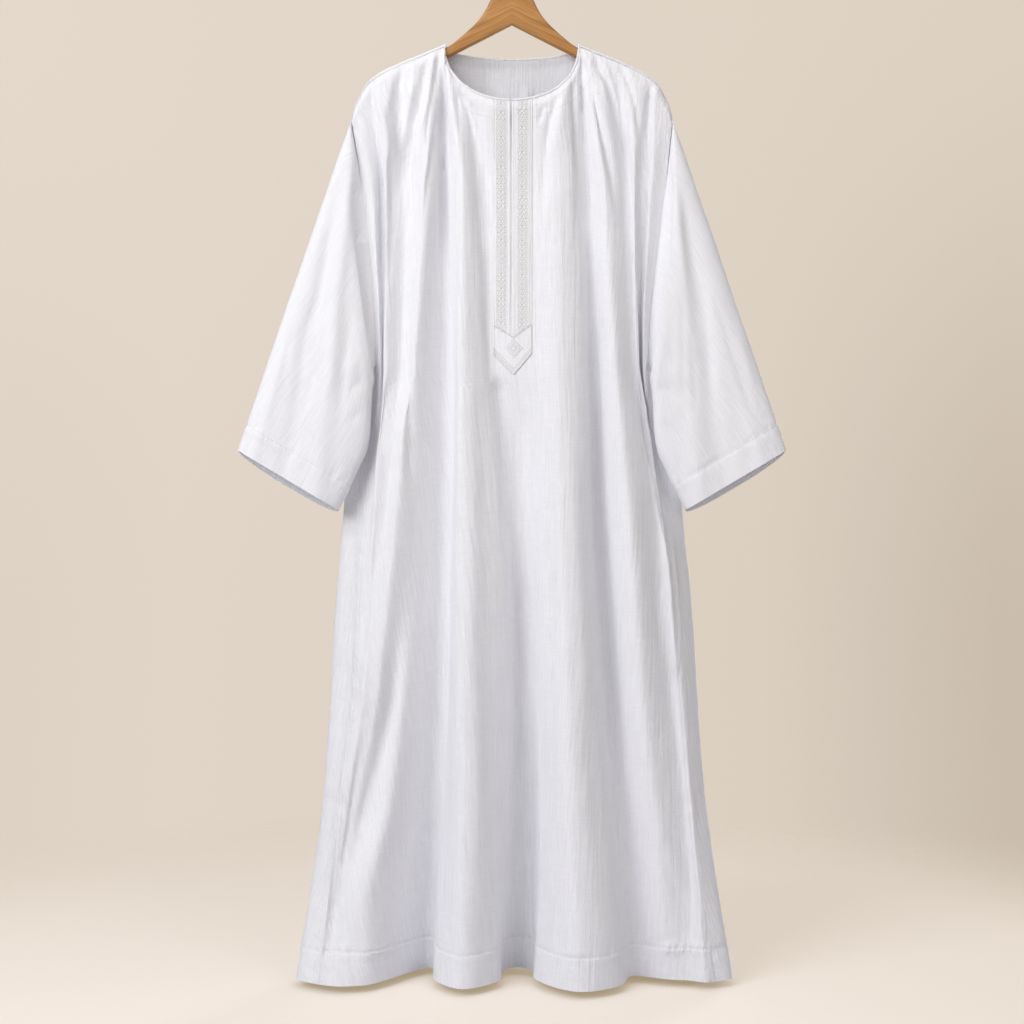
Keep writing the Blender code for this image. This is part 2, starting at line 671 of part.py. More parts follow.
def build_binding(group):
    """A narrow band set against the panels' neck edge, slightly thicker than they are."""
    loop = neck_loop()
    centre = Vector((0, 0, shoulder_height(NECK_HALF)))
    points = []
    for k, (point, normal) in enumerate(loop):
        behind = loop[max(0, k - 1)][0]
        ahead = loop[min(len(loop) - 1, k + 1)][0]
        along = (ahead - behind).normalized()
        away = along.cross(normal).normalized()
        if away.dot(centre + Vector((0, point.y, 0)) - point) < 0:
            away = -away
        out = away.cross(along)
        if out.dot(normal) < 0:
            out = -out
        points += [(point + away * a + out * b) * MM for a, b in BINDING_SECTION]
    sides = len(BINDING_SECTION)
    faces = []
    for k in range(len(loop) - 1):
        for s in range(sides):
            t = (s + 1) % sides
            faces.append([k * sides + s, k * sides + t, (k + 1) * sides + t, (k + 1) * sides + s])
    faces.append(list(reversed(range(sides))))
    faces.append([(len(loop) - 1) * sides + s for s in range(sides)])
    mesh = bpy.data.meshes.new("neck_binding")
    mesh.from_pydata(points, [], faces)
    mesh.shade_smooth()
    return add_object("neck_binding", mesh, "cloth", group)


def front_line(grid, x):
    """The front panel's points down a line at a fixed x."""
    line = []
    for row in grid[len(ARM_TURN) - 1:]:
        for a, b in zip(row[:-1], row[1:]):
            if a.x <= x <= b.x and abs(a.x) < BAND_REACH:
                line.append(a.lerp(b, (x - a.x) / (b.x - a.x)))
                break
    return line


def laid_patch(name, outline, group, kind):
    """A piece that lies on the front; outline gives x, top and bottom for each of its columns."""
    grid = front_grid()
    columns = []
    for x, top, bottom in outline:
        line = front_line(grid, x)
        start = min(top, line[0].z - LAY_GAP)
        column = []
        for z in patch_heights(line, start, bottom):
            i = max(j for j in range(len(line) - 1) if line[j].z >= z)
            share = (line[i].z - z) / (line[i].z - line[i + 1].z)
            out = -line[i].lerp(line[i + 1], share).y + LAY_GAP + PLACKET_WALL
            column.append(Vector((x, -out, z)))
        columns.append(column)
    patch = [list(row) for row in zip(*columns)]
    return sheet(name, patch, kind, group, PLACKET_WALL)


def patch_heights(line, start, bottom):
    """Heights of a patch's rows: the panel's own rows down to the slit's end, or even ones below it."""
    if start > SLIT_END:
        own = [point.z for point in line[1:] if point.z >= SLIT_END - 0.01]
        return [start] + own + [bottom]
    return [blend(start, bottom, k / POINT_ROWS) for k in range(POINT_ROWS + 1)]


def v_height(x, side, low):
    """Height at x of a V that runs from the placket's borders to its middle."""
    border = PLACKET_LEFT if x < PLACKET_MIDDLE else PLACKET_RIGHT
    return blend(side, low, (x - border) / (PLACKET_MIDDLE - border))


def build_placket(group):
    slit = FRONT_FOLDS[slit_column() // FRONT_STEPS][1]
    edge = SLIT_HALF + BAND_EDGE
    bands = (("placket_left", PLACKET_LEFT, slit - edge), ("placket_right", slit + edge, PLACKET_RIGHT))
    for name, start, end in bands:
        outline = []
        for k in range(BAND_COLUMNS + 1):
            x = blend(start, end, k / BAND_COLUMNS)
            outline.append((x, 0, v_height(x, PLACKET_V_SIDE, PLACKET_V_LOW)))
        laid_patch(name, outline, group, "embroidery")
    outline = []
    places = [blend(PLACKET_LEFT, PLACKET_MIDDLE, k / BAND_COLUMNS) for k in range(BAND_COLUMNS)]
    places += [blend(PLACKET_MIDDLE, PLACKET_RIGHT, k / BAND_COLUMNS) for k in range(BAND_COLUMNS + 1)]
    for x in places:
        top = v_height(x, PLACKET_V_SIDE, PLACKET_V_LOW) - SEAM_GAP * 2
        outline.append((x, top, v_height(x, PLACKET_CORNER, PLACKET_TIP)))
    laid_patch("placket_point", outline, group, "embroidery")


# ---------------------------------------------------------------- hanger

def make_mesh(made, kind, group):
    """Turn a curve object into a mesh object of the same name."""
    bpy.context.view_layer.update()
    evaluated = made.evaluated_get(bpy.context.evaluated_depsgraph_get())
    mesh = bpy.data.meshes.new_from_object(evaluated)
    mesh.materials.clear()
    name = made.name
    matrix = made.matrix_world.copy()
    bpy.data.objects.remove(made)
    solid = add_object(name, mesh, kind, group)
    solid.matrix_world = matrix
    return solid


def build_wood(group):
    curve = bpy.data.curves.new("hanger_wood", "CURVE")
    curve.dimensions = "2D"
    curve.fill_mode = "BOTH"
    curve.extrude = (ARM_THICKNESS / 2 - ARM_ROUND) * MM
    curve.bevel_depth = ARM_ROUND * MM
    curve.offset = -ARM_ROUND * MM
    curve.bevel_resolution = 1
    right = list(HANGER_HALF)
    outline = right + [(0, HANGER_NOTCH)] + [(-x, z) for x, z in reversed(right)]
    spline = curve.splines.new("POLY")
    spline.points.add(len(outline) - 1)
    for point, (x, z) in zip(spline.points, outline):
        point.co = (x * MM, z * MM, 0, 1)
    spline.use_cyclic_u = True
    flat = bpy.data.objects.new("hanger_wood", curve)
    flat.rotation_euler = (math.pi / 2, 0, 0)
    group.objects.link(flat)
    return make_mesh(flat, "wood", group)


def build_hook(group):
    curve = bpy.data.curves.new("hanger_hook", "CURVE")
    curve.dimensions = "3D"
    curve.bevel_depth = WIRE_RADIUS * MM
    curve.bevel_resolution = 2
    curve.use_fill_caps = True
    radius = HOOK_RADIUS + WIRE_RADIUS
    centre = -HOOK_RADIUS
    path = []
    for k in range(HOOK_STEPS + 1):
        angle = math.radians(blend(HOOK_FROM, HOOK_TO, k / HOOK_STEPS))
        path.append((radius * math.cos(angle), centre + radius * math.sin(angle)))
    end_x, end_z = path[-1]
    stem = HANGER_TOP + STEM_RISE
    for k in range(1, STEM_STEPS + 1):
        share = k / STEM_STEPS
        path.append((end_x * (1 - smooth(share)), blend(end_z, stem, share)))
    path.append((0, HANGER_TOP - HOOK_HOLE_DEPTH + 1))
    spline = curve.splines.new("POLY")
    spline.points.add(len(path) - 1)
    for point, (x, z) in zip(spline.points, path):
        point.co = (x * MM, 0, z * MM, 1)
    return add_object("hanger_hook", curve, "steel", group)


def build_ferrule(group):
    """A turned collar round the hook where it enters the wood."""
    inner = WIRE_RADIUS + SEAM_GAP
    low = HANGER_TOP + SEAM_GAP
    profile = (
        (inner, low + FERRULE_HEIGHT), (FERRULE_RADIUS - 2, low + FERRULE_HEIGHT),
        (FERRULE_RADIUS, low + FERRULE_HEIGHT - 2), (FERRULE_RADIUS, low), (inner, low),
    )
    mesh = bpy.data.meshes.new("hanger_ferrule")
    points = [(x * MM, 0, z * MM) for x, z in profile]
    edges = [(k, (k + 1) % len(points)) for k in range(len(points))]
    mesh.from_pydata(points, edges, [])
    made = add_object("hanger_ferrule", mesh, "steel", group)
    turn = made.modifiers.new("turn", "SCREW")
    turn.steps = 20
    turn.render_steps = 20
    turn.use_merge_vertices = True
    turn.merge_threshold = 0.0001 * MM
    return made


def cut_hook_hole(wood, cutters):
    bpy.ops.mesh.primitive_cylinder_add(
        vertices=16, radius=(WIRE_RADIUS + HOOK_HOLE_GAP) * MM, depth=2 * HOOK_HOLE_DEPTH * MM,
        location=(0, 0, HANGER_TOP * MM))
    hole = bpy.context.active_object
    hole.name = "hook_hole"
    for owner in list(hole.users_collection):
        owner.objects.unlink(hole)
    cutters.objects.link(hole)
    hole.hide_render = True
    hole.display_type = "WIRE"
    weld = wood.modifiers.new("weld", "WELD")
    weld.merge_threshold = 0.00001
    cut = wood.modifiers.new("hook hole", "BOOLEAN")
    cut.object = hole
    cut.operation = "DIFFERENCE"


# ---------------------------------------------------------------- assembly

def main():
    for old in list(bpy.data.objects):
        bpy.data.objects.remove(old, do_unlink=True)
    parts = bpy.data.collections.new("thobe_on_hanger")
    cutters = bpy.data.collections.new("cutters")
    for group in (parts, cutters):
        bpy.context.scene.collection.children.link(group)
    build_front(parts)
    build_back(parts)
    for side in ("left", "right"):
        build_sleeve(side, parts)
    build_binding(parts)
    build_placket(parts)
    wood = build_wood(parts)
    cut_hook_hole(wood, cutters)
    build_hook(parts)
    build_ferrule(parts)


main()
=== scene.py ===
"""A collarless white thobe on a wooden hanger: the cloth, its seams and embroidery, and the hanger.

Lengths in the tables are in millimetres, in the frame's own axes: +X to the right as the robe
is seen, +Y from the front to the back, +Z up, with the origin under the hook's bow.
"out" is the distance of a front point in front of the hanger's middle plane, or of a back point
behind it.
"""
import math

import bpy
import bmesh
import numpy as np
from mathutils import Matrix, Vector
from mathutils.bvhtree import BVHTree

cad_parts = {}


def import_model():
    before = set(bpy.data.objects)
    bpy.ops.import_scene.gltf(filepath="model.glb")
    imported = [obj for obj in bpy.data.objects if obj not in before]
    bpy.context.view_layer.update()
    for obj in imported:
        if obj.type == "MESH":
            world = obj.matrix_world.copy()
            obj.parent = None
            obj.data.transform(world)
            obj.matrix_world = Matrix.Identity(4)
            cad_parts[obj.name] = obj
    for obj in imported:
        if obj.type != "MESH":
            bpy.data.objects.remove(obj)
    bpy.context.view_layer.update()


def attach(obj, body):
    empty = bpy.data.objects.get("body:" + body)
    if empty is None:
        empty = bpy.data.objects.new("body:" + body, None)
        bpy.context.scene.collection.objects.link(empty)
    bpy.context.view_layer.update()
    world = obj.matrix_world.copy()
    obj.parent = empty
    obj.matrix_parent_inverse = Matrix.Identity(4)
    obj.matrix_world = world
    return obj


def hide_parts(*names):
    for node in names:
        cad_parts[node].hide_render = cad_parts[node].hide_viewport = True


MM = 0.001

# ---------------------------------------------------------------- sizes of the robe

CLOTH_THICK = 1.4
SEAM_GAP = 0.15            # half of the parting line that shows at a seam
HEIGHTS = {
    "chest": -410, "underarm": -670, "waist": -800, "hip": -1000,
    "thigh": -1180, "knee": -1350, "shin": -1500, "hem": -1632,
}
SLIT_END = -602
SLIT_HALF = 0.7
SLIT_GAPE = (0.6, -400, 130)  # half width more at the neck, from this height, over this much
SLIT_CLOSE = 12            # the slit closes over this much above its end

NECK_HALF = 105.8
NECK_FRONT_LOW = -261
NECK_BACK_LOW = -184.5
NECK_FRONT_OUT = 28
NECK_BACK_OUT = 26
SHOULDER_LINE = (
    # distance from the middle, height
    (100, -164), (141, -180), (184, -199), (215, -216),
    (227, -226), (238, -245), (246, -262), (251, -280),
)
ARM_TURN = (
    # out, drop: the cloth's turn over the hanger's arm
    (0.0, 0.0), (1.8, 0.0), (3.5, 0.3), (5.4, 1.1), (7.0, 2.4), (8.2, 4.4), (9.0, 7.0),
)
TURN_ROWS = len(ARM_TURN) - 1
TURN_OUT, TURN_DROP = ARM_TURN[-1]
ARM_LIFT = 3.5             # the cloth stands this much off the arm below its turn
ARM_REACH = 224
ARM_LOW = (99, -190)       # the arm's lower side: from here it falls away to its tip
ARM_FALL = 0.5
ARM_CLEAR = 0.5
TOP_ROWS = 40
TOP_CLOSER = 1.1           # how much closer the mesh rows lie at the shoulder than above the chest
LEVEL_ROWS = {
    # rows down to each level
    "underarm": 40, "waist": 17, "hip": 24, "thigh": 21, "knee": 20, "shin": 19, "hem": 20,
}
COLUMN_WIDTHS = {"front": (2.9, 14), "back": (3.8, 17)}  # widest mesh column at the chest, at the hem
LEAST_STEPS = 4
SEAM_LEAD = 8              # the lines across a panel are led in from this far past its seams
SAME_PLACE = 0.01
JOINED = 0.00001           # points of the slit that are this close are one
ARMHOLE_FRONT_OUT = 1
ARMHOLE_BACK_OUT = 15
ARMHOLE_CLOSE = 70
BACK_EASE = (13, 24, 28)   # the back's fullness: how far, how far below the underarm, half height

FRONT_LEVELS = ("chest", "underarm", "waist", "hip", "thigh", "knee", "shin", "hem")
FRONT_FOLDS = (
    # name, x at the top, then (x, out) at each level
    ("left seam", -251, (-232, 1), (-214, -7), (-228, -20), (-245, -4),
     (-253, 2), (-273, 12), (-286, 22), (-301, 35)),
    ("left pinch", -239, (-219, 12), (-206, 5), (-221, -14), (-239, 0),
     (-247, 8), (-268, 16), (-282, 20), (-294, 38)),
    ("left crease", -227, (-204, 5), (-202, -3), (-213, -6), (-231, 4),
     (-240, 15), (-262, 19), (-278, 19), (-286, 41)),
    ("left edge", -215, (-198, 22), (-198, 20), (-210, 15), (-221, 14),
     (-232, 23), (-255, 19), (-273, 19), (-277, 44)),
    ("left hollow", -172, (-167, 8), (-174, 10), (-188, 11), (-206, 17),
     (-224, 24), (-250, 15), (-267, 21), (-268, 46)),
    ("left ridge", -128, (-135, 30), (-153, 28), (-171, 29), (-189, 29),
     (-208, 22), (-240, 14), (-260, 25), (-258, 46)),
    ("low hollow", -121, (-124, 22), (-141, 22), (-154, 22), (-172, 20),
     (-190, 10), (-229, 8), (-250, 30), (-244, 44)),
    ("low ridge", -116, (-116, 11), (-126, 10), (-136, 8), (-150, 4),
     (-171, 14), (-192, 22), (-223, 36), (-222, 37)),
    ("left valley", -111, (-107, 3), (-109, 0), (-113, -8), (-116, -18),
     (-120, -29), (-129, -40), (-132, -52), (-132, -61)),
    ("pipe 1 left", -105.8, (-97, 15), (-98, 14), (-99, 8), (-101, 0),
     (-104, -4), (-108, -4), (-113, 5), (-119, 16)),
    ("pipe 1 front", -101, (-77, 32), (-78, 34), (-80, 36), (-79, 39),
     (-79, 45), (-77, 51), (-76, 57), (-76, 61)),
    ("pipe 1 right", -90, (-57, 22), (-48, 22), (-43, 23), (-35, 24),
     (-34, 23), (-30, 21), (-25, 18), (-20, 14)),
    ("middle valley left", -72, (-40, 11), (-28, 8), (-14, 7), (-5, 3),
     (-6, -3), (-8, -14), (-10, -26), (-15, -39)),
    ("middle valley", -29, (-22, 17), (-13, 10), (3, -6), (9, -20),
     (9, -32), (8, -44), (8, -53), (9, -61)),
    ("slit", -1.5, (-1.5, 19), (0, 15), (17, -5), (27, -18),
     (29, -30), (30, -44), (31, -47), (33, -41)),
    ("pipe 2 left", 33, (33, 22), (36, 23), (41, 17), (46, 13),
     (48, 6), (47, 0), (45, -1), (36, 4)),
    ("pipe 2 front", 80, (77, 32), (74, 36), (74, 39), (81, 45),
     (85, 53), (90, 61), (95, 69), (98, 75)),
    ("pipe 2 right", 98, (105, 20), (110, 22), (113, 23), (120, 24),
     (129, 28), (140, 33), (156, 38), (164, 44)),
    ("right valley", 105.8, (117, 2), (123, -4), (128, -8), (138, -13),
     (151, -14), (165, -14), (181, -14), (190, -14)),
    ("right ridge", 117, (144, 29), (160, 34), (172, 34), (188, 35),
     (202, 31), (220, 25), (238, 16), (246, 6)),
    ("right hollow", 152, (186, 8), (193, 8), (212, 6), (236, 3),
     (252, 2), (269, 2), (279, 8), (280, 13)),
    ("right edge", 192, (191, 20), (198, 14), (218, 8), (246, 8),
     (259, 6), (274, 4), (286, 11), (292, 20)),
    ("right crease", 220, (200, 6), (202, -4), (222, -6), (250, 4),
     (263, 5), (277, 6), (291, 13), (301, 24)),
    ("right pinch", 237, (213, 15), (206, 12), (226, -15), (253, 0),
     (267, 4), (280, 8), (294, 14), (308, 22)),
    ("right seam", 251, (238, 1), (214, -7), (230, -20), (259, -4),
     (272, 1), (284, 6), (300, 12), (318, 18)),
)
BACK_LEVELS = ("chest", "underarm", "waist", "hip", "knee", "hem")
BACK_FOLDS = (
    # name, x at the top, then (x, out) at each level
    ("left corner", -246, (-224, 12), (-210, 22), (-256, 42), (-278, 38), (-300, 24), (-338, -2)),
    ("left side", -232, (-206, 22), (-202, 36), (-232, 62), (-252, 68), (-272, 74), (-306, 76)),
    ("left side ridge", -212, (-186, 16), (-180, 34), (-202, 58), (-214, 66), (-238, 88), (-264, 120)),
    ("left hollow", -178, (-160, 9), (-150, 24), (-160, 42), (-170, 48), (-188, 64), (-212, 93)),
    ("ridge 1", -142, (-124, 26), (-116, 45), (-120, 62), (-124, 76), (-136, 106), (-150, 143)),
    ("hollow 1", -105.8, (-88, 12), (-80, 28), (-80, 44), (-80, 52), (-82, 74), (-86, 101)),
    ("ridge 2", -52, (-46, 24), (-42, 42), (-36, 60), (-32, 74), (-26, 102), (-20, 139)),
    ("hollow 2", 0, (0, 15), (4, 30), (14, 44), (20, 52), (32, 74), (44, 99)),
    ("ridge 3", 56, (50, 26), (58, 45), (70, 62), (80, 75), (94, 104), (110, 139)),
    ("hollow 3", 105.8, (98, 11), (108, 27), (120, 42), (130, 49), (148, 70), (168, 95)),
    ("ridge 4", 146, (138, 26), (150, 43), (166, 58), (178, 68), (204, 96), (228, 126)),
    ("right hollow", 188, (176, 13), (184, 28), (204, 46), (220, 50), (246, 66), (278, 88)),
    ("right side", 222, (206, 22), (208, 35), (234, 58), (256, 58), (278, 62), (316, 64)),
    ("right corner", 246, (230, 12), (209, 22), (258, 42), (282, 36), (306, 22), (345, -2)),
)

# Sleeves, for the left one; the right one mirrors them
SLEEVE_TOP = ((251, -280), (295.5, -411), (340, -541.5), (384.5, -672), (429, -803))
SLEEVE_UNDER = ((214, -670), (220, -722), (224, -788), (245, -843), (272, -896))
SLEEVE_RINGS = (0.10, 0.2, 0.32, 0.45, 0.58, 0.71, 0.84, 0.93, 1.0)
SLEEVE_STEPS = 11          # mesh rings between two of these
SLEEVE_EDGE_STEP = (10, 20)  # armhole seam to the fold beside it, at the shoulder and the underarm
SLEEVE_EDGE_OUT = 18
SLEEVE_FRONT_DEPTH = 25
SLEEVE_BACK_DEPTH = 17
SLEEVE_FULLNESS = {1: 3.4, -1: 2.4}  # how square the section is, on the front and on the back
SLEEVE_MIDDLE = ((0, 3), (-7, 5))  # out of the section's middle, at its top and under edge, at both ends
SLEEVE_LEAN_IN = 5         # the under edge has come out over this part of the length
SLEEVE_EVEN_OUT = 1.6      # the mesh lines across are even from this part of the length
CUFF_BACK_DROP = 13
CUFF_DROP_FROM = 0.6       # share of the length
ARMHOLE_DOWN = (0.75, 0.86, 0.14)  # how far the seam's way out turns down the underarm, from, over
ARMHOLE_CLOSER = (0.5, 0.85, 0.15)  # how much closer the fold lies at the underarm, from, over
ARMHOLE_STEP_GROW = 1.3
ARMHOLE_ROUND = 0.6
ARMHOLE_LEAD = 6
SLEEVE_FOLDS = {
    # place across at the shoulder, at the cuff, width, height at the shoulder, at the cuff
    "left": ((0.20, 0.80, 0.16, 3, 4), (0.10, 0.46, 0.13, -1.5, -3), (0.03, 0.16, 0.12, 0, 3)),
    "right": ((0.20, 0.88, 0.14, 3, 4), (0.12, 0.62, 0.14, -2, -3), (0.03, 0.25, 0.14, 0, 3)),
}
SLEEVE_FOLD_SHARP = 0.6
SLEEVE_FOLD_START = 0.15   # share of the length

# Creases and small ridges of each piece, laid over its folds
FRONT_CREASES = (
    # half width, height (a crease is below 0), then its path (x, z)
    (8, -6, ((-129, -180), (-137, -238), (-154, -300), (-166, -355), (-171, -430))),
    (7, 4, ((-150, -215), (-161, -290), (-167, -345))),
    (8, -5, ((-166, -192), (-178, -238), (-181, -300), (-176, -350), (-171, -440))),
    (9, 4, ((-192, -210), (-194, -290), (-190, -390))),
    (6, -5, ((-105, -175), (-108, -230), (-111, -308), (-110, -410), (-111, -560))),
    (6, -5, ((131, -178), (122, -214), (130, -267), (152, -368), (160, -430))),
    (6, 3, ((146, -190), (140, -225), (150, -290), (166, -380))),
    (6, -3, ((63, -256), (53, -329), (47, -410), (44, -470))),
    (6, -4, ((163, -192), (174, -308), (179, -410), (183, -520))),
    (7, -4, ((-76, -262), (-58, -335), (-50, -410), (-44, -520))),
    (6, -4, ((95, -178), (96, -269), (102, -332), (108, -410), (113, -520))),
    (5, -4, ((217, -253), (215, -332), (209, -410), (204, -489), (200, -600))),
    (5, -4, ((-223, -230), (-215, -269), (-207, -332), (-204, -410), (-202, -504), (-203, -661))),
    (7, -3, ((-90, -230), (-84, -280), (-80, -340))),
    (8, 3, ((82, -215), (76, -275), (72, -345))),
    (10, -2.5, ((-177, -1110), (-195, -1195), (-212, -1305), (-242, -1384), (-262, -1446),
                (-284, -1509))),
    (16, 2.5, ((-172, -1170), (-181, -1258), (-193, -1352), (-206, -1415), (-221, -1494), (-250, -1572))),
    (9, -4, ((-150, -1240), (-158, -1330), (-172, -1420), (-186, -1520))),
    (8, -3, ((-96, -560), (-94, -700), (-98, -860), (-104, -1010))),
    (9, -3, ((62, -760), (58, -900), (62, -1060), (70, -1200))),
    (9, -4, ((-206, -880), (-214, -980), (-232, -1080), (-243, -1170))),
    (9, -4, ((226, -960), (232, -1060), (250, -1160), (262, -1280))),
    (10, 4, ((236, -1000), (243, -1090), (252, -1180))),
    (10, -2.5, ((196, -1330), (222, -1410), (252, -1480), (284, -1545))),
    (12, 2, ((214, -1350), (240, -1430), (268, -1500))),
    (12, 3, ((-55, -1120), (-52, -1300), (-46, -1500))),
    (9, -3, ((112, -1150), (122, -1300), (134, -1450), (142, -1560))),
    (7, -4, ((-186, -676), (-196, -720), (-204, -770), (-208, -830))),
    (8, -4, ((184, -650), (200, -720), (214, -790), (222, -850))),
    (8, 3, ((-174, -700), (-186, -780), (-196, -860))),
    # the bottoms of the three main valleys, and the full slopes before them
    (10, -8, ((-60, -330), (-44, -480), (-32, -620), (-15, -756), (-4, -913), (9, -1038),
              (14, -1195), (18, -1352), (24, -1509), (26, -1660))),
    (9, -10, ((122, -400), (128, -567), (131, -756), (134, -881), (145, -1038), (157, -1195),
              (170, -1352), (190, -1509), (200, -1660))),
    (10, -9, ((-100, -330), (-101, -410), (-101, -567), (-104, -756), (-107, -913), (-110, -1195),
              (-116, -1352), (-126, -1509), (-134, -1660))),
    (13, 4, ((-60, -560), (-60, -756), (-61, -913), (-60, -1195), (-58, -1352), (-56, -1509),
             (-52, -1680))),
    (13, 4, ((98, -660), (100, -913), (106, -1038), (114, -1195), (124, -1352), (138, -1509),
             (150, -1680))),
    (10, 4, ((-200, -1090), (-206, -1195), (-231, -1352), (-262, -1470))),
    (12, -4, ((-172, -1090), (-188, -1195), (-212, -1352), (-244, -1509))),
    (9, -5, ((205, -700), (218, -780), (229, -881), (246, -1000))),
    (8, -5, ((-165, -600), (-160, -700), (-158, -820), (-150, -930))),
)
FINE_CREASES = (
    # half width, height, then the path, for the gathers under the shoulders and neck
    (4.0, -5.0, ((-221, -226), (-218, -256), (-207, -299), (-204, -347), (-206, -410), (-203, -505),
                 (-201, -600))),
    (6.0, -3.0, ((-170, -200), (-180, -244), (-191, -278), (-194, -330))),
    (4.5, -4.5, ((-130, -182), (-137, -219), (-144, -247), (-154, -281), (-168, -333), (-176, -420))),
    (7.0, -3.5, ((-171, -236), (-176, -278), (-181, -324), (-184, -373), (-188, -480))),
    (4.5, -4.0, ((-114, -178), (-124, -244), (-129, -274), (-133, -313), (-141, -400))),
    (4.0, -4.0, ((-103, -200), (-111, -269), (-124, -347), (-132, -398), (-142, -500))),
    (4.0, -4.0, ((-102, -235), (-108, -286), (-109, -333), (-108, -398), (-110, -540))),
    (4.0, -3.2, ((-84, -240), (-74, -261), (-64, -294), (-52, -350))),
    (3.6, -2.6, ((-76, -248), (-55, -288), (-36, -335))),
    (3.4, -2.2, ((-62, -262), (-46, -298))),
    (4.5, -3.0, ((-192, -342), (-187, -450), (-192, -572))),
    (4.5, -3.0, ((-158, -300), (-161, -372), (-155, -470))),
    (4.0, 2.2, ((-150, -188), (-156, -262), (-163, -330))),
    (4.0, 2.0, ((-122, -182), (-131, -262), (-146, -330))),
    (4.0, 2.5, ((-212, -240), (-198, -300), (-195, -380), (-195, -470))),
    (4.5, -4.5, ((106, -180), (116, -214), (121, -239), (133, -281), (146, -329), (155, -373),
                 (163, -450))),
    (4.5, -4.5, ((128, -182), (135, -206), (148, -230), (155, -256), (168, -294), (176, -333),
                 (183, -430))),
    (4.5, -3.6, ((166, -198), (181, -225), (188, -247), (195, -280), (197, -330))),
    (4.0, -6.0, ((218, -222), (214, -261), (210, -299), (209, -349), (207, -410), (205, -500),
                 (202, -600))),
    (4.0, 3.5, ((226, -232), (221, -300), (219, -380))),
    (4.0, -4.5, ((94, -222), (96, -274), (100, -324), (108, -398), (112, -500))),
    (4.0, -2.6, ((73, -250), (60, -290), (52, -350))),
    (3.6, -2.4, ((111, -232), (108, -290))),
    (3.4, -2.2, ((50, -268), (40, -300))),
    (4.5, -2.6, ((98, -300), (104, -396), (97, -503))),
    (4.0, 2.2, ((120, -192), (128, -240), (142, -290), (152, -340))),
    (4.0, 2.0, ((144, -196), (162, -248), (174, -310))),
)
BACK_CREASES = (
    # half width, height, then the path (x, z)
    (9, -6, ((-168, -185), (-150, -250), (-138, -330), (-130, -430))),
    (8, 4, ((-190, -200), (-180, -280), (-172, -360))),
    (9, -5, ((-118, -172), (-112, -250), (-104, -340), (-96, -460))),
    (8, -4, ((-60, -195), (-58, -270), (-50, -360), (-44, -470))),
    (8, -3, ((22, -200), (26, -290), (24, -390))),
    (9, -5, ((92, -172), (88, -250), (92, -340), (98, -470))),
    (9, -6, ((160, -182), (152, -250), (150, -330), (156, -440))),
    (8, 4, ((186, -198), (180, -280), (178, -370))),
    (9, -4, ((-205, -620), (-196, -690), (-190, -770), (-186, -860))),
    (9, -4, ((206, -620), (202, -700), (206, -780), (214, -870))),
    (10, -5, ((-262, -880), (-246, -980), (-224, -1090), (-206, -1200))),
    (10, -5, ((272, -900), (262, -1010), (250, -1120), (244, -1240))),
    (11, 4, ((-160, -900), (-152, -1040), (-150, -1180))),
    (9, -3, ((14, -700), (6, -860), (12, -1010), (22, -1160))),
    (9, -3, ((92, -820), (98, -980), (108, -1130))),
    (10, -4, ((-286, -1330), (-262, -1420), (-232, -1500), (-214, -1580))),
    (10, -4, ((300, -1320), (284, -1420), (262, -1510), (250, -1590))),
)
SLEEVE_CREASES = {
    # half width, height, then the path (x, z)
    "left": (
        (9, -2.5, ((-273, -380), (-286, -475), (-302, -570), (-324, -632), (-334, -725), (-348, -790))),
        (10, 2, ((-259, -411), (-261, -505), (-269, -568), (-277, -662), (-285, -725), (-298, -790))),
        (8, -2, ((-247, -560), (-256, -640), (-262, -700), (-268, -780))),
        (7, -1.5, ((-300, -660), (-318, -720), (-332, -770))),
        (7, 1.5, ((-352, -640), (-368, -700), (-384, -760))),
        (6, -1.5, ((-340, -610), (-352, -660), (-362, -700))),
        (8, -2.5, ((-226, -690), (-240, -700), (-258, -722))),
        (6, -1.5, ((-224, -740), (-240, -748), (-262, -770))),
        (7, 1.5, ((-236, -660), (-250, -676), (-268, -690))),
    ),
    "right": (
        (9, -2.5, ((281, -488), (297, -567), (305, -630), (312, -724), (320, -771))),
        (10, 2.5, ((256, -316), (259, -567), (259, -663), (257, -771), (265, -850))),
        (7, -2, ((328, -614), (352, -680), (366, -724), (384, -787))),
        (7, 1.5, ((344, -600), (366, -670), (386, -740))),
        (6, -1.5, ((312, -560), (330, -610), (344, -660))),
        (6, -1.5, ((276, -610), (282, -690), (286, -770))),
        (8, -2.5, ((224, -700), (244, -712), (266, -736))),
        (6, -1.5, ((228, -760), (246, -770), (268, -792))),
        (7, 1.5, ((240, -672), (256, -690), (276, -708))),
    ),
}

CREASE_START = {"crease": 0.3, "gather": 0.08}  # share of its length over which one grows to its height
CREASE_END = 0.4           # share over which it dies away
CLOTH_WAVES = (
    # length across, length down, height, seed: slow upright waves, and the small dents between them
    (46, 240, 1.3, 3), (19, 70, 0.45, 5),
)
WAVE_START = 30            # first place in the table of uneven values
WAVE_TABLE = 64
SLEEVE_WAVES = (1.3, 0.5)  # a sleeve's waves are this much shorter across, and this share as high
# Where creases grow out of nothing or die away, in mm along the cloth
CREASES_FROM_TOP = 30
GATHERS_FROM_TOP = 9
RELIEF_FROM_TOP = 6
LIFT_FROM_TOP = 12
LIFT_END = (150, 110)      # the lift off the arm ends here, over this much
CREASES_FROM_SIDE = 14
CREASES_FROM_BAND = (31, 10)  # from the placket's middle, over
CREASES_BELOW_POINT = 25
CREASES_FROM_ARMHOLE = 22
CREASES_FROM_CUFF = (60, 0.35)  # over this much above the cuff's hem, with this share left on it
FRONT_OF_SLEEVE = (-0.15, 0.4)  # the front's own creases: from this turn to the front, over

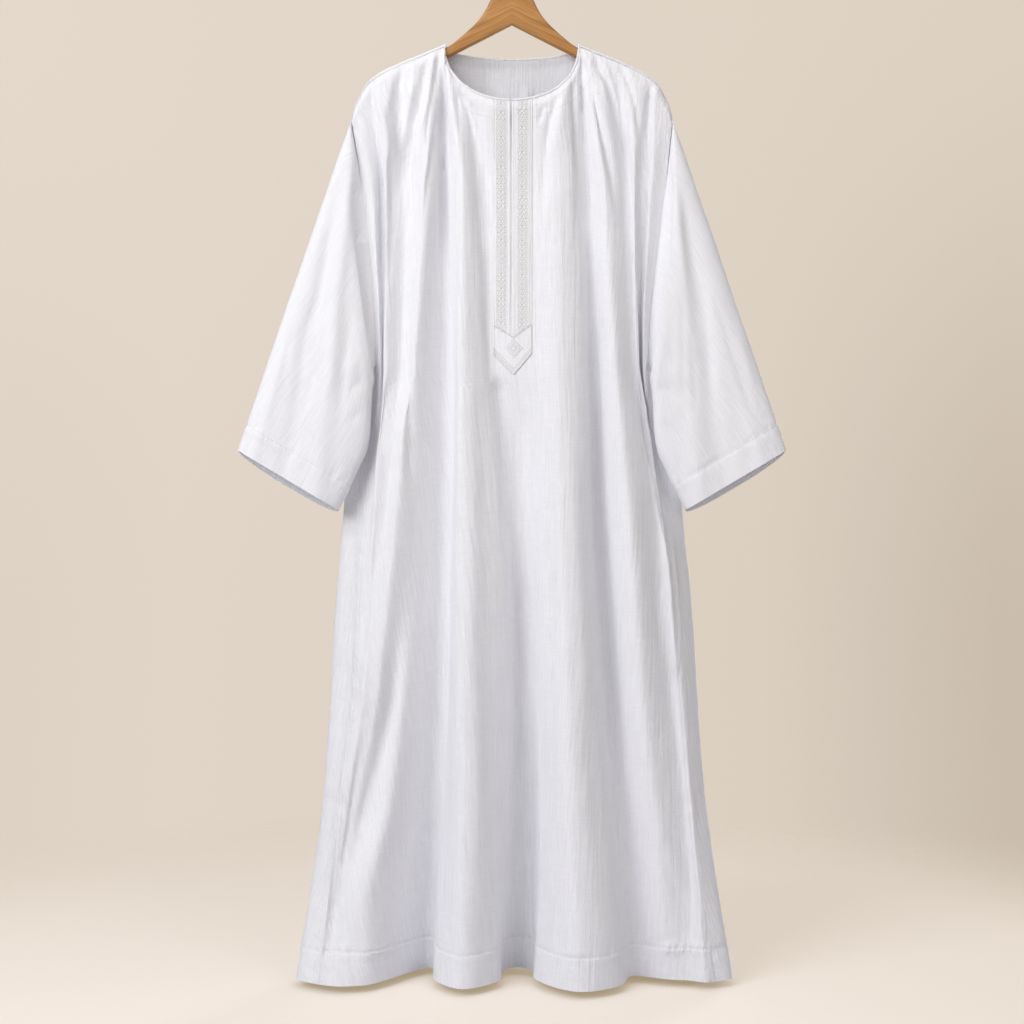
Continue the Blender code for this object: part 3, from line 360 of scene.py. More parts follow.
# Hems, seams and their stitches
HEM_DEPTH = 50
CUFF_DEPTH = 42
STITCH_SINK = 0.9          # depth of the trough that a row of stitches draws in
HEM_TROUGH = 2.2           # its half width
CUFF_TROUGH = 3.2
TURNED_EDGE = (1.5, 3)     # a hem's turned cloth ends this far past its stitches, over this much
TUCKS = (
    # length along the seam, length across it, share of the height
    (9, 26, 1.0), (5, 14, 0.6),
)
TUCK_START = 40            # first place in the table of uneven values
TUCK_PATCHES = (90, 0.45, 0.5)  # length of a patch of tucks, least height, evenness
TUCK_REACH = 13            # how far the tucks reach from their seam
HEM_TUCKS = 1.7            # height
SIDE_TUCKS = (1.5, 7, 5)   # height, distance from the side seam, start
SIDE_TUCKS_FROM = 60       # below the underarm
HEM_FROM_SIDE = 6
ARMHOLE_TUCKS = (0.8, 3, 5)
TUCK_SEEDS = {"side": 11, "front": 21, "back": 31, "left": 41, "right": 51, "armhole": 61, "binding": 71}
FACING_DEPTH = 29
FACING_ARCS = ((0.06, 0.42), (0.60, 0.94))  # shares of the neck's half round, from its right end
FACING_STEPS = 60
FACING_GAP = 2             # between its line and the placket
HEM_ROWS = (-5, -2.8, -1.3, 0.2, 1.7, 3.2, 5.4)  # extra mesh rows about the hem's stitches
HEM_STEP = 0.55            # a turned hem stands this much prouder
SIDE_STITCH = (4, 10)      # two rows beside each side seam
ROW_SHAPES = {
    # pitch, unevenness of size, then for each stitch: along, across, long, wide, high, turn in degrees
    "running_stitch": (4.6, 0.12, ((0, 0, 3.2, 1.1, 0.7, 0),)),
    "satin_cord": (1.2, 0.12, ((0, 0, 1.05, 1.8, 0.8, 0),)),
    "fine_cord": (1.2, 0.12, ((0, 0, 1.1, 1.2, 0.9, 0),)),
    "shade_cord": (1.6, 0.12, ((0, 0, 1.5, 0.9, 0.5, 0),)),
    "leaf_braid": (7.5, 0.26, (
        (0.0, 2.6, 5.4, 1.9, 2.0, 38), (0.0, -2.6, 5.4, 1.9, 2.0, -38),
        (3.7, 0.0, 2.3, 2.1, 2.2, 0), (3.6, 5.0, 2.8, 1.5, 1.6, -30),
        (3.6, -5.0, 2.8, 1.5, 1.6, 30),
        (-0.6, 6.6, 1.6, 1.2, 1.2, 0), (-0.6, -6.6, 1.6, 1.2, 1.2, 0),
    )),
    # grey beads in the braid's eyelets: painted shade of the holes
    "braid_hollow_shade": (7.5, 0.26, (
        (-1.9, 0.0, 2.2, 1.8, 0.7, 0), (1.4, 4.9, 1.6, 1.0, 0.5, 38),
        (1.4, -4.9, 1.6, 1.0, 0.5, -38),
    )),
    "seed_knots": (2.7, 0.12, ((0, 0, 1.5, 1.3, 1.1, 0),)),
    "star": (50.0, 0.12, (
        (0, 0, 5.4, 1.3, 0.9, 0), (0, 0, 5.4, 1.3, 0.9, 90),
        (0, 0, 3.6, 1.0, 0.8, 45), (0, 0, 3.6, 1.0, 0.8, -45),
    )),
}
STITCH_SEED = 9

# Binding round the neck: away from the panels' edge, out of the cloth
BINDING_SECTION = (
    (0.2, -1.6), (-0.3, 0.1), (0.1, 0.8), (0.9, 1.1), (1.8, 1.1), (2.6, 0.8), (3.1, 0.1), (3.2, -0.8),
    (2.8, -1.6), (1.6, -1.9),
)
BINDING_LEAN = 0.3
BINDING_TUCKS = (0.12, 0.8)  # height, waves for each point
BINDING_OVER_ARM = (-182, 12)  # the band lies flatter from this height up, over this much
BINDING_FLATTER = {"away": 0.25, "out": 0.55}

# Placket
SLIT_X = -1.5
PLACKET_LEFT = -29.5
PLACKET_RIGHT = 31
PLACKET_V_SIDE = -607
PLACKET_V_LOW = -627
PLACKET_CORNER = -653
PLACKET_TIP = -686
PLACKET_MIDDLE = 3.0
UPPER_V = (PLACKET_V_SIDE, PLACKET_V_LOW)  # heights at the sides and in the middle
LOWER_V = (PLACKET_CORNER, PLACKET_TIP)
DROP_FROM = -300           # places on the front are looked for from this far before it
DROP_NEAR = -30            # and where none is met, the one nearest to this is taken
PLACKET_LIFT = 0.35        # clearance under the bands
PLACKET_WALL = 0.7
BAND_TOP_GAP = 0.8         # the bands start this far below the neck's edge
BAND_LOW_GAP = (0.2, 0.5)  # above and below the seam between the bands and the point
SLIT_EDGE = 0.5            # half the parting of the bands; more at the neck:
SLIT_EDGE_GAPES = ((0.25, 0.25, -400, 90), (0.0, 0.6, -320, 50))  # least, more, from, over
BAND_COLUMNS = 70
BAND_ROWS = 130
BAND_LINES = {
    # x, height, half width of each raised or sunk line
    "left": ((-28.7, 0.6, 0.8), (-27.0, -0.6, 0.6), (-7.0, -0.6, 0.6), (-4.4, 0.5, 1.2)),
    "right": ((1.4, 0.45, 1.3), (7.0, -0.6, 0.6), (27.2, 0.5, 0.8), (28.9, -0.6, 0.6), (30.3, 0.3, 0.6)),
}
BAND_GROUND = {"left": (-25.4, -8.3), "right": (8.3, 26.0)}
BAND_MIDDLE = {"left": -16.9, "right": 15.8}
SEED_ROW = 24.4            # a row of small knots beside the right braid
# height of the grey line of painted shade across the bands' top
TOP_BORDER = -266.5
DIAMOND = (2.4, -645, 12.6, 13.4)  # x, z, half width, half height
DIAMOND_INNER = 0.68
DIAMOND_RIM = {"side": 1.1, "top": 1.12}  # the grey line of painted shade round the diamond, as a share of its size
DIAMOND_RAISED = (0.35, 1.05, 0.1)  # height, from this share of its size, over
POINT_RIDGES = (
    # edge, place inside it, half width, height
    ("sides", 1, 0.8, 0.8), ("lower", 1, 0.9, 0.7), ("upper", 1, 0.9, 0.4),
)
POINT_LEAN = {"lower": 0.72, "upper": 0.83}  # cosine of the slope of those edges
POINT_GROUND = 9           # the stitched ground inside the lower edges
POINT_ECHOES = (4.5, 7.0)  # lines inside the point's lower edges
POINT_ECHO_LEAN = (40, 1.1, 1.4)  # how an echo moves: share toward the middle, up at its two ends
POINT_BORDER = 1.2         # the cords' distance inside the point's sides
V_ECHOES = (3.0, 5.2)      # lines above the bands' V

# Hanger
ARM_THICKNESS = 12
ARM_ROUND = 4.5
HANGER_HALF = (
    # half outline of the wood: from the top down its upper side, round the tip and back below
    (9, -68), (14, -69.5), (19, -72.5), (26, -82), (34, -97), (43, -115), (54, -130), (68, -144),
    (83, -157), (93, -165.2), (103, -171.2), (120, -177.5), (141, -183.4), (163, -192.2), (184, -202),
    (206, -214.5), (214, -220), (218, -227), (217, -235), (210, -240), (184, -228), (150, -211.5),
    (99, -186), (60, -166.3), (30, -151),
)
HANGER_LEADS = ((1, 0), (5, -2.6))  # the outline's way in and out at its two ends
HANGER_STEPS = 5
HANGER_NOTCH = -135.5
HANGER_TOP = HANGER_HALF[0][1]
WIRE_RADIUS = 2.0
HOOK_RADIUS = 20.0
HOOK_FROM = 195
HOOK_TO = -62
HOOK_STEPS = 60
STEM_STEPS = 14
STEM_RISE = 8
STEM_SUNK = 3              # how far the wire goes into the wood
HOOK_TIP = (0.55, 2)       # the tip's share of the wire's thickness, and the steps to its full one
FERRULE_SIDES = 48
FERRULE_PROFILE = (
    # distance from the axis, height above the wood
    (2.2, 4.3), (4.4, 4.3), (5.6, 3.8), (6.3, 2.8), (6.5, 1.6), (6.4, 0.5), (6.0, 0.2), (2.2, 0.2),
)
SHARP_EDGES = {"cloth": 62, "hanger": 50, "collar": 40}  # least angle, in degrees
MERGE = 0.01               # points of the wood and wire that are this close are merged

# Camera and room
CAMERA_DISTANCE = 2.6
CAMERA_HEIGHT = -0.900
CAMERA_LENS = 58.2
FLOOR = -1.644
FLOOR_TONE = "#CBCBD1"
FLOOR_GLOW = (0.352, "#FFE5B6")  # stands for the light that a pale room throws on it
FLOOR_FADE = (0.9, 1.7)    # the floor is whole up to this far, and gone from this far
# backdrop colours with painted shade: darker to the right and lower down, where less light falls and the
# robe's shadow lies
WALL_LOW = (
    # place across the view, colour
    (0.05, "#DED2C4"), (0.18, "#E1D5C8"), (0.737, "#DBCFC0"), (0.844, "#D2C6B8"), (0.948, "#CABDAD"),
)
WALL_HIGH = ((0.05, "#E4D9CB"), (0.948, "#DDD1C2"))
WALL_ACROSS = 0.3125       # sideways part of the way to the colours' ends
WALL_RISE = (-0.08, 0.3)   # upward part of the way to where the low colours end and the high ones start
AMBIENT = 0.39
AMBIENT_TONE = "#F4F1F0"
LIGHTS = (
    # name, place, size, watts, spread, aim, tone
    ("key", (-2.1, -2.3, 0.6), 2.6, 79, 180, (0, 0, -0.8), "#FFFFFF"),
    ("fill", (1.7, -2.6, 0.0), 1.8, 17, 180, (0, 0, -0.9), "#FFF6EE"),
    ("top", (0.0, -0.7, 1.5), 1.4, 8, 180, (0.0, -0.3, -1.6), "#FFFFFF"),
    ("behind", (1.5, 2.3, -0.55), 1.5, 6, 60, (0, 0, -0.8), "#FFFFFF"),
)


# ---------------------------------------------------------------- numbers

def blend(a, b, t):
    return a + (b - a) * t


def smooth(t):
    t = np.clip(t, 0.0, 1.0)
    return t * t * (3 - 2 * t)


def rise(value, start, over):
    """0 up to the start, and 1 from this much past it."""
    return smooth((value - start) / over)


def bell(distance, half_width):
    """1 at no distance, and softly down to 0 past the half width."""
    return np.exp(-(distance / half_width) ** 2)


def monotone(knots, values, at):
    """Read a smooth curve without overshoot through values at rising knots."""
    knots = np.asarray(knots, float)
    values = np.asarray(values, float)
    at = np.clip(at, knots[0], knots[-1])
    steps = np.diff(knots)
    rates = np.diff(values) / steps
    slopes = np.concatenate(([rates[0]], np.zeros(len(knots) - 2), [rates[-1]]))
    for i in range(1, len(knots) - 1):
        if rates[i - 1] * rates[i] > 0:
            w1 = 2 * steps[i] + steps[i - 1]
            w2 = steps[i] + 2 * steps[i - 1]
            slopes[i] = (w1 + w2) / (w1 / rates[i - 1] + w2 / rates[i])
    i = np.clip(np.searchsorted(knots, at, side="right") - 1, 0, len(knots) - 2)
    t = (at - knots[i]) / steps[i]
    low = values[i] * (1 + 2 * t) * (1 - t) ** 2 + slopes[i] * steps[i] * t * (1 - t) ** 2
    high = values[i + 1] * t * t * (3 - 2 * t) + slopes[i + 1] * steps[i] * t * t * (t - 1)
    return low + high


def through(controls, before, after, steps):
    """Centripetal Catmull-Rom lines through controls[k], all the lines at once, in steps[k] parts."""
    line = [before] + list(controls) + [after]
    samples = []

    def reach(p, q):
        return np.maximum(1e-4, np.linalg.norm(q - p, axis=-1, keepdims=True)) ** 0.5

    for i, count in enumerate(steps, 1):
        p0, p1, p2, p3 = line[i - 1:i + 3]
        t1 = reach(p0, p1)
        t2 = t1 + reach(p1, p2)
        t3 = t2 + reach(p2, p3)
        for k in range(count):
            t = blend(t1, t2, k / count)
            a1 = blend(p0, p1, t / t1)
            a2 = blend(p1, p2, (t - t1) / (t2 - t1))
            a3 = blend(p2, p3, (t - t2) / (t3 - t2))
            b1 = blend(a1, a2, t / t2)
            b2 = blend(a2, a3, (t - t1) / (t3 - t1))
            samples.append(blend(b1, b2, (t - t1) / (t2 - t1)))
    samples.append(line[-2])
    return samples


def wander(u, v, seed):
    """Smooth uneven values from -1 to 1, one wave for each unit of u and v."""
    table = np.random.default_rng(seed).uniform(-1, 1, (WAVE_TABLE, WAVE_TABLE))
    i = np.floor(u).astype(int)
    j = np.floor(v).astype(int)
    across = smooth(u - i)
    down = smooth(v - j)
    near = blend(table[i % WAVE_TABLE, j % WAVE_TABLE], table[(i + 1) % WAVE_TABLE, j % WAVE_TABLE], across)
    j = j + 1
    far = blend(table[i % WAVE_TABLE, j % WAVE_TABLE], table[(i + 1) % WAVE_TABLE, j % WAVE_TABLE], across)
    return blend(near, far, down)


# ---------------------------------------------------------------- meshes

def link(name, mesh):
    made = bpy.data.objects.new(name, mesh)
    bpy.context.scene.collection.objects.link(made)
    return made


def grid_lengths(grid):
    """Distance along the cloth across and down to each point of a grid."""
    across = np.zeros(grid.shape[:2])
    down = np.zeros(grid.shape[:2])
    across[:, 1:] = np.cumsum(np.linalg.norm(np.diff(grid, axis=1), axis=2), axis=1)
    down[1:] = np.cumsum(np.linalg.norm(np.diff(grid, axis=0), axis=2), axis=0)
    across -= across[:, grid.shape[1] // 2][:, None]
    return across, down


def grid_normals(grid, closed):
    """Unit normals of a grid, on the side that across x down gives."""
    if closed:
        across = np.roll(grid, -1, axis=1) - np.roll(grid, 1, axis=1)
    else:
        across = np.gradient(grid, axis=1)
    down = np.gradient(grid, axis=0)
    normals = np.cross(across, down)
    return normals / np.maximum(1e-9, np.linalg.norm(normals, axis=2, keepdims=True))


def shell(name, grid, kept=None, closed=False, flip=False, thick=CLOTH_THICK, zone=None, slit=None):
    """Skin a grid with a wall on its inner side.

    zone is the material number of each point; without it the inner side has a number of its own.
    slit is the column whose next one lies apart from it, down to where both are in the same place
    and are joined.
    """
    rows, columns = grid.shape[:2]
    if kept is None:
        kept = np.ones((rows, columns), bool)
    index = -np.ones((rows, columns), int)
    index[kept] = np.arange(kept.sum())
    if slit is not None:
        meets = np.linalg.norm(grid[:, slit + 1] - grid[:, slit], axis=1) < JOINED
        index[meets, slit + 1] = index[meets, slit]
    across, down = grid_lengths(grid)
    faces = []
    zones = []
    for c in range(columns if closed else columns - 1):
        if c == slit:
            continue
        d = (c + 1) % columns
        square = np.stack([index[:-1, c], index[1:, c], index[1:, d], index[:-1, d]], axis=1)
        whole = (square >= 0).all(axis=1)
        faces.append(square[whole])
        if zone is not None:
            zones.append(zone[:-1, c][whole])
    faces = np.concatenate(faces)
    if flip:
        faces = faces[:, ::-1]
    used = np.unique(faces)
    fresh = -np.ones(kept.sum(), int)
    fresh[used] = np.arange(len(used))
    faces = fresh[faces]
    mesh = bpy.data.meshes.new(name)
    mesh.from_pydata((grid[kept][used] * MM).tolist(), [], faces.tolist())
    layer = mesh.uv_layers.new(name="cloth")
    corners = np.zeros(len(mesh.loops), int)
    mesh.loops.foreach_get("vertex_index", corners)
    places = np.stack([across[kept], down[kept]], axis=1)[used][corners] * MM
    layer.data.foreach_set("uv", places.astype(np.float32).ravel())
    if zone is not None:
        mesh.polygons.foreach_set("material_index", np.concatenate(zones).astype(np.int32))
    else:
        mesh.materials.append(None)
        mesh.materials.append(None)
    mesh.shade_smooth()
    made = link(name, mesh)
    wall = made.modifiers.new("wall", "SOLIDIFY")
    wall.thickness = thick * MM
    wall.offset = -1
    wall.use_quality_normals = True
    wall.material_offset = 0 if zone is not None else 1
    return made


def settle(made):
    """Apply an object's modifiers and leave a plain mesh."""
    evaluated = made.evaluated_get(bpy.context.evaluated_depsgraph_get())
    mesh = bpy.data.meshes.new_from_object(evaluated)
    mesh.set_sharp_from_angle(angle=math.radians(SHARP_EDGES["cloth"]))
    made.modifiers.clear()
    made.data = mesh
    return made


def crease_heights(x, z, creases, kind="crease"):
    """Sum of soft troughs and ridges along paths."""
    total = np.zeros_like(x)
    for half_width, height, path in creases:
        lengths = [math.dist(a, b) for a, b in zip(path[:-1], path[1:])]
        nearest = np.full(x.shape, np.inf)
        share = np.zeros_like(x)
        done = 0.0
        for (x0, z0), (x1, z1), length in zip(path[:-1], path[1:], lengths):
            t = np.clip(((x - x0) * (x1 - x0) + (z - z0) * (z1 - z0)) / length ** 2, 0, 1)
            away = np.hypot(x - blend(x0, x1, t), z - blend(z0, z1, t))
            nearer = away < nearest
            nearest = np.where(nearer, away, nearest)
            share = np.where(nearer, (done + t * length) / sum(lengths), share)
            done += length
        fade = smooth(share / CREASE_START[kind]) * smooth((1 - share) / CREASE_END)
        total += height * fade * bell(nearest, half_width)
    return total


# ---------------------------------------------------------------- robe body

def shoulder_height(x):
    return monotone(*zip(*SHOULDER_LINE), np.abs(x))


def neck_edge(x, low, middle_out):
    """Height and out of a panel's edge at the neck."""
    start = shoulder_height(NECK_HALF) - TURN_DROP
    depth = np.sqrt(np.maximum(0.0, 1 - (x / NECK_HALF) ** 2))
    return start + (low - start) * depth, blend(TURN_OUT, middle_out, depth ** 2)


def top_edge(x, low, middle_out):
    """Height and out where the body's rows start, just below the turn over the arm."""
    if abs(x) < NECK_HALF - SAME_PLACE:
        return neck_edge(x, low, middle_out)
    return shoulder_height(x) - TURN_DROP, TURN_OUT


def body_rows():
    """Shares of the way from the top edge to the chest, then heights below the chest."""
    shares = (np.arange(TOP_ROWS) / TOP_ROWS) ** TOP_CLOSER
    heights = [HEIGHTS["chest"]]
    for level, rows in LEVEL_ROWS.items():
        start = heights[-1]
        heights += [blend(start, HEIGHTS[level], (k + 1) / rows) for k in range(rows)]
    heights += [HEIGHTS["hem"] + HEM_DEPTH + step for step in HEM_ROWS]
    return shares, np.array(sorted(heights, reverse=True), float)


def fold_lines(folds, levels, low, middle_out):
    """(x, out) of each fold on every row."""
    shares, heights = body_rows()
    lines = []
    for fold in folds:
        top, edge_out = top_edge(fold[1], low, middle_out)
        rows = np.concatenate([blend(top, HEIGHTS["chest"], shares), heights])
        knots = [-top] + [-HEIGHTS[name] for name in levels]
        x = monotone(knots, [fold[1]] + [place[0] for place in fold[2:]], -rows)
        out = monotone(knots, [fold[2][1]] + [place[1] for place in fold[2:]], -rows)
        out[:len(shares)] = blend(edge_out, fold[2][1], shares * (2 - shares))
        lines.append(np.stack([x, out], axis=1))
    return lines


def armhole_out(seam_out, edge_out):
    """Out of an armhole edge on every row: it leaves the arm's turn and closes to the underarm."""
    shares, heights = body_rows()
    first = blend(TURN_OUT, edge_out, smooth(shares))
    rise = np.clip((heights - HEIGHTS["underarm"]) / ARMHOLE_CLOSE, 0, 1)
    return np.concatenate([first, blend(seam_out, edge_out, np.sqrt(1 - (1 - rise) ** 2))])


def armhole_rows():
    """How many of the body's rows lie above the underarm."""
    shares, heights = body_rows()
    return len(shares) + int(np.sum(heights > HEIGHTS["underarm"] + SAME_PLACE))


def panel_lines(side):
    """All the folds of a panel with its two seams, as (x, out) on every row."""
    seams = fold_lines((FRONT_FOLDS[0], FRONT_FOLDS[-1]), FRONT_LEVELS, NECK_FRONT_LOW, NECK_FRONT_OUT)
    if side == "front":
        lines = fold_lines(FRONT_FOLDS, FRONT_LEVELS, NECK_FRONT_LOW, NECK_FRONT_OUT)
        sign = 1
        edge = ARMHOLE_FRONT_OUT
    else:
        inner = fold_lines(BACK_FOLDS, BACK_LEVELS, NECK_BACK_LOW, NECK_BACK_OUT)
        shares, heights = body_rows()
        z = np.concatenate([np.zeros(len(shares)), heights])
        reach, below, half_height = BACK_EASE
        ease = reach * bell(z - HEIGHTS["underarm"] + below, half_height)
        inner[0][:, 0] -= ease
        inner[-1][:, 0] += ease
        lines = [seams[0] * (1, -1)] + inner + [seams[1] * (1, -1)]
        sign = -1
        edge = ARMHOLE_BACK_OUT
    rows = armhole_rows()
    for k, fold in ((0, FRONT_FOLDS[0]), (-1, FRONT_FOLDS[-1])):
        closing = armhole_out(fold[3][1] * sign, edge)
        lines[k][:rows, 1] = closing[:rows]
    return lines


def seam_directions(side):
    """Plan directions from the two seams into a panel, on every row."""
    front = panel_lines("front")
    back = panel_lines("back")
    sign = 1 if side == "front" else -1
    shares, heights = body_rows()
    rise = (heights - HEIGHTS["underarm"]) / ARMHOLE_CLOSE
    turned = np.concatenate([np.zeros(len(shares)), np.where(rise > 0, 1 - smooth(rise), 1.0)])
    directions = []
    for near, inward in ((1, 1), (-2, -1)):
        loop = front[near] - back[near] * (1, -1)
        loop /= np.linalg.norm(loop, axis=1, keepdims=True)
        loop[:, 0] *= sign
        mixed = blend(np.array([inward, 0.0]), loop, turned[:, None])
        directions.append(mixed / np.linalg.norm(mixed, axis=1, keepdims=True))
    return directions


def panel_folds(side):
    if side == "front":
        return FRONT_FOLDS
    return (FRONT_FOLDS[0],) + BACK_FOLDS + (FRONT_FOLDS[-1],)


def gap_steps(side):
    """Mesh columns between each two folds of a panel, from how far apart they are."""
    narrow, wide = COLUMN_WIDTHS[side]
    folds = panel_folds(side)
    steps = []
    for a, b in zip(folds[:-1], folds[1:]):
        above = max(abs(b[1] - a[1]), abs(b[2][0] - a[2][0])) / narrow
        steps.append(max(LEAST_STEPS, math.ceil(above), math.ceil(math.dist(a[-1], b[-1]) / wide)))
    return steps


def column_tops(side):
    folds = panel_folds(side)
    tops = []
    for a, b, count in zip(folds[:-1], folds[1:], gap_steps(side)):
        tops += [blend(a[1], b[1], k / count) for k in range(count)]
    return np.array(tops + [folds[-1][1]])


def slit_column():
    names = [fold[0] for fold in FRONT_FOLDS]
    return sum(gap_steps("front")[:names.index("slit")])


def body_grid(side):
    """Points of a panel, rows from the shoulder down, and which of them are cloth."""
    front = side == "front"
    sign = 1 if front else -1
    low, middle_out = (NECK_FRONT_LOW, NECK_FRONT_OUT) if front else (NECK_BACK_LOW, NECK_BACK_OUT)
    lines = panel_lines(side)
    into_left, into_right = seam_directions(side)
    before = lines[0] - into_left * SEAM_LEAD
    after = lines[-1] - into_right * SEAM_LEAD
    plan = through(lines, before, after, gap_steps(side))
    plan[0] = lines[0] + into_left * SEAM_GAP
    plan[-1] = lines[-1] + into_right * SEAM_GAP
    tops = column_tops(side)
    shares, heights = body_rows()
    columns = []
    for line, top_x in zip(plan, tops):
        top = top_edge(top_x, low, middle_out)[0]
        z = np.concatenate([blend(top, HEIGHTS["chest"], shares), heights])
        columns.append(np.stack([line[:, 0], -line[:, 1] * sign, z], axis=1))
    body = np.stack(columns, axis=1)
    turn = np.zeros((TURN_ROWS, len(tops), 3))
    for row, (out, drop_down) in enumerate(ARM_TURN[:-1]):
        turn[row, :, 0] = body[0, :, 0]
        turn[row, :, 1] = -max(out, SEAM_GAP) * sign
        turn[row, :, 2] = shoulder_height(tops) - drop_down
    grid = np.concatenate([turn, body])
    kept = np.ones(grid.shape[:2], bool)
    kept[:TURN_ROWS, np.abs(tops) < NECK_HALF - SAME_PLACE] = False
    return grid, kept


def way_down(grid):
    """Distance along the cloth from its first row to each point."""
    steps = np.linalg.norm(np.diff(grid, axis=0, prepend=grid[:1]), axis=2)
    return np.cumsum(steps, axis=0)


def cloth_unevenness(x, z):
    """Heights of the waves and dents in hung cloth."""
    return sum(height * wander(x / across + WAVE_START, z / down + WAVE_START, seed)
               for across, down, height, seed in CLOTH_WAVES)


def seam_puckers(distance, along, seed):
    """Short uneven tucks drawn in by a line of stitches."""
    tucks = sum(share * wander(along / long + TUCK_START, distance / wide + TUCK_START, seed + number)
                for number, (long, wide, share) in enumerate(TUCKS))
    patch, least, evenness = TUCK_PATCHES
    uneven = wander(along / patch + TUCK_START, distance * 0, seed + len(TUCKS))
    return tucks * blend(least, 1.0, smooth(uneven + evenness)) * bell(distance, TUCK_REACH)


def hem_form(height, depth, trough, along, seed):
    """Relief of a turned hem: its own thickness, the sunk stitch line and the tucks beside it."""
    past, over = TURNED_EDGE
    step = smooth((depth + past - height) / over) * HEM_STEP
    line = -STITCH_SINK * bell(height - depth, trough)
    return step + line + HEM_TUCKS * seam_puckers(height - depth, along, seed)


def body_relief(grid, side):
    """How far each point of a panel moves out of its folded form."""
    x = grid[:, :, 0]
    z = grid[:, :, 2]
    across, _ = grid_lengths(grid)
    down = way_down(grid)
    down -= down[TURN_ROWS]
    seams = np.minimum(across - across[:, :1], across[:, -1:] - across)
    front = side == "front"
    relief = crease_heights(x, z, FRONT_CREASES if front else BACK_CREASES) + cloth_unevenness(x, z)
    relief *= smooth(down / CREASES_FROM_TOP)
    gathers = crease_heights(x if front else -x, z, FINE_CREASES, "gather")
    relief += gathers * smooth(down / GATHERS_FROM_TOP)
    if front:
        calm = rise(np.abs(x - PLACKET_MIDDLE), *CREASES_FROM_BAND)
        below = smooth((PLACKET_TIP - z) / CREASES_BELOW_POINT)
        relief *= np.where(z < PLACKET_TIP, np.maximum(calm, below), calm)
    relief *= smooth(seams / CREASES_FROM_SIDE)
    height, place, start = SIDE_TUCKS
    below = smooth((HEIGHTS["underarm"] - z) / SIDE_TUCKS_FROM)
    relief += height * below * seam_puckers(seams - place, z, TUCK_SEEDS["side"]) * smooth(seams / start)
    hem = hem_form(z - HEIGHTS["hem"], HEM_DEPTH, HEM_TROUGH, across, TUCK_SEEDS[side])
    relief += hem * smooth(seams / HEM_FROM_SIDE)
    end, over = LIFT_END
    relief += ARM_LIFT * smooth(down / LIFT_FROM_TOP) * smooth((end - down) / over)
    return relief * smooth(down / RELIEF_FROM_TOP)


def body_panel(side):
    """A panel's points with their relief, kept off the hanger's arm, and which of them are cloth."""
    grid, kept = body_grid(side)
    sign = -1 if side == "front" else 1
    normals = grid_normals(grid, False)
    normals[(normals[:, :, 1] * sign).sum(axis=1) < 0] *= -1
    grid = grid + normals * body_relief(grid, side)[:, :, None]
    x = np.abs(grid[:, :, 0])
    before_arm = (x < ARM_REACH) & (grid[:, :, 2] > ARM_LOW[1] - (x - ARM_LOW[0]) * ARM_FALL)
    before_arm[:TURN_ROWS] = False
    out = np.maximum(grid[:, :, 1] * sign, ARM_THICKNESS / 2 + CLOTH_THICK + ARM_CLEAR)
    grid[:, :, 1] = np.where(before_arm, out * sign, grid[:, :, 1])
    return grid, kept


def open_slit(grid, kept):
    """Part the column at the slit down to the slit's end."""
    column = slit_column()
    left = grid[:, column].copy()
    right = grid[:, column].copy()
    height = left[:, 2]
    more, start, over = SLIT_GAPE
    half = SLIT_HALF + more * rise(height, start, over)
    half = np.where(height > SLIT_END, half * rise(height, SLIT_END, SLIT_CLOSE), 0.0)
    left[:, 0] -= half
    right[:, 0] += half
    grid = np.concatenate([grid[:, :column], left[:, None], right[:, None], grid[:, column + 1:]], axis=1)
    kept = np.concatenate([kept[:, :column + 1], kept[:, column:]], axis=1)
    return grid, kept


def build_front():
    """The front panel, and its grid and kept points before the slit was parted."""
    grid, kept = body_panel("front")
    opened, both = open_slit(grid, kept)
    return shell("front_panel", opened, both, slit=slit_column()), grid, kept


def build_back():
    """The back panel and its grid."""
    grid, kept = body_panel("back")
    return shell("back_panel", grid, kept, flip=True), grid


# ---------------------------------------------------------------- sleeves

def armhole_half(side, panel):
    """The armhole's seam on one panel from the shoulder to the underarm, and the way into the body."""
    grid, _ = body_grid(panel)
    rows = TURN_ROWS + armhole_rows() + 1
    edge, inner = (0, 1) if side == "left" else (-1, -2)
    seam = grid[:rows, edge]
    inward = grid[:rows, inner] - seam
    inward /= np.linalg.norm(inward, axis=1, keepdims=True)
    return seam - inward * SEAM_GAP, inward


def sleeve_fold_height(side, across, along):
    """Height of a sleeve's long folds over its front."""
    total = 0.0
    for start, end, width, high, low in SLEEVE_FOLDS[side]:
        away = across - blend(start, end, along)
        total = total + blend(high, low, along) * bell(away, width * SLEEVE_FOLD_SHARP)
    return total * smooth(along / SLEEVE_FOLD_START)


def sleeve_ring(side, along, shares, evens, sign):
    """One half of a sleeve's section; sign is 1 on the front and -1 on the back."""
    mirror = -1 if side == "left" else 1
    (top_x, top_z), (under_x, under_z) = (
        [monotone(np.linspace(0, 1, len(SLEEVE_TOP)), values, along) for values in zip(*line)]
        for line in (SLEEVE_TOP, SLEEVE_UNDER))
    depth = SLEEVE_FRONT_DEPTH if sign > 0 else SLEEVE_BACK_DEPTH
    across = blend(shares, evens, smooth(along * SLEEVE_EVEN_OUT))
    full = SLEEVE_FULLNESS[sign]
    bulge = (1 - np.abs(2 * across - 1) ** full) ** (1 / full)
    top_middle = blend(*SLEEVE_MIDDLE[0], along)
    under_middle = blend(*SLEEVE_MIDDLE[1], smooth(along * SLEEVE_LEAN_IN))
    out = blend(top_middle, under_middle, across) + sign * bulge * depth
    z = blend(top_z, under_z, across)
    if sign > 0:
        out = out + sleeve_fold_height(side, across, along) * bulge
    else:
        z = z - CUFF_BACK_DROP * bulge * rise(along, CUFF_DROP_FROM, 1 - CUFF_DROP_FROM)
    return np.stack([mirror * blend(top_x, under_x, across), -out, z], axis=1)


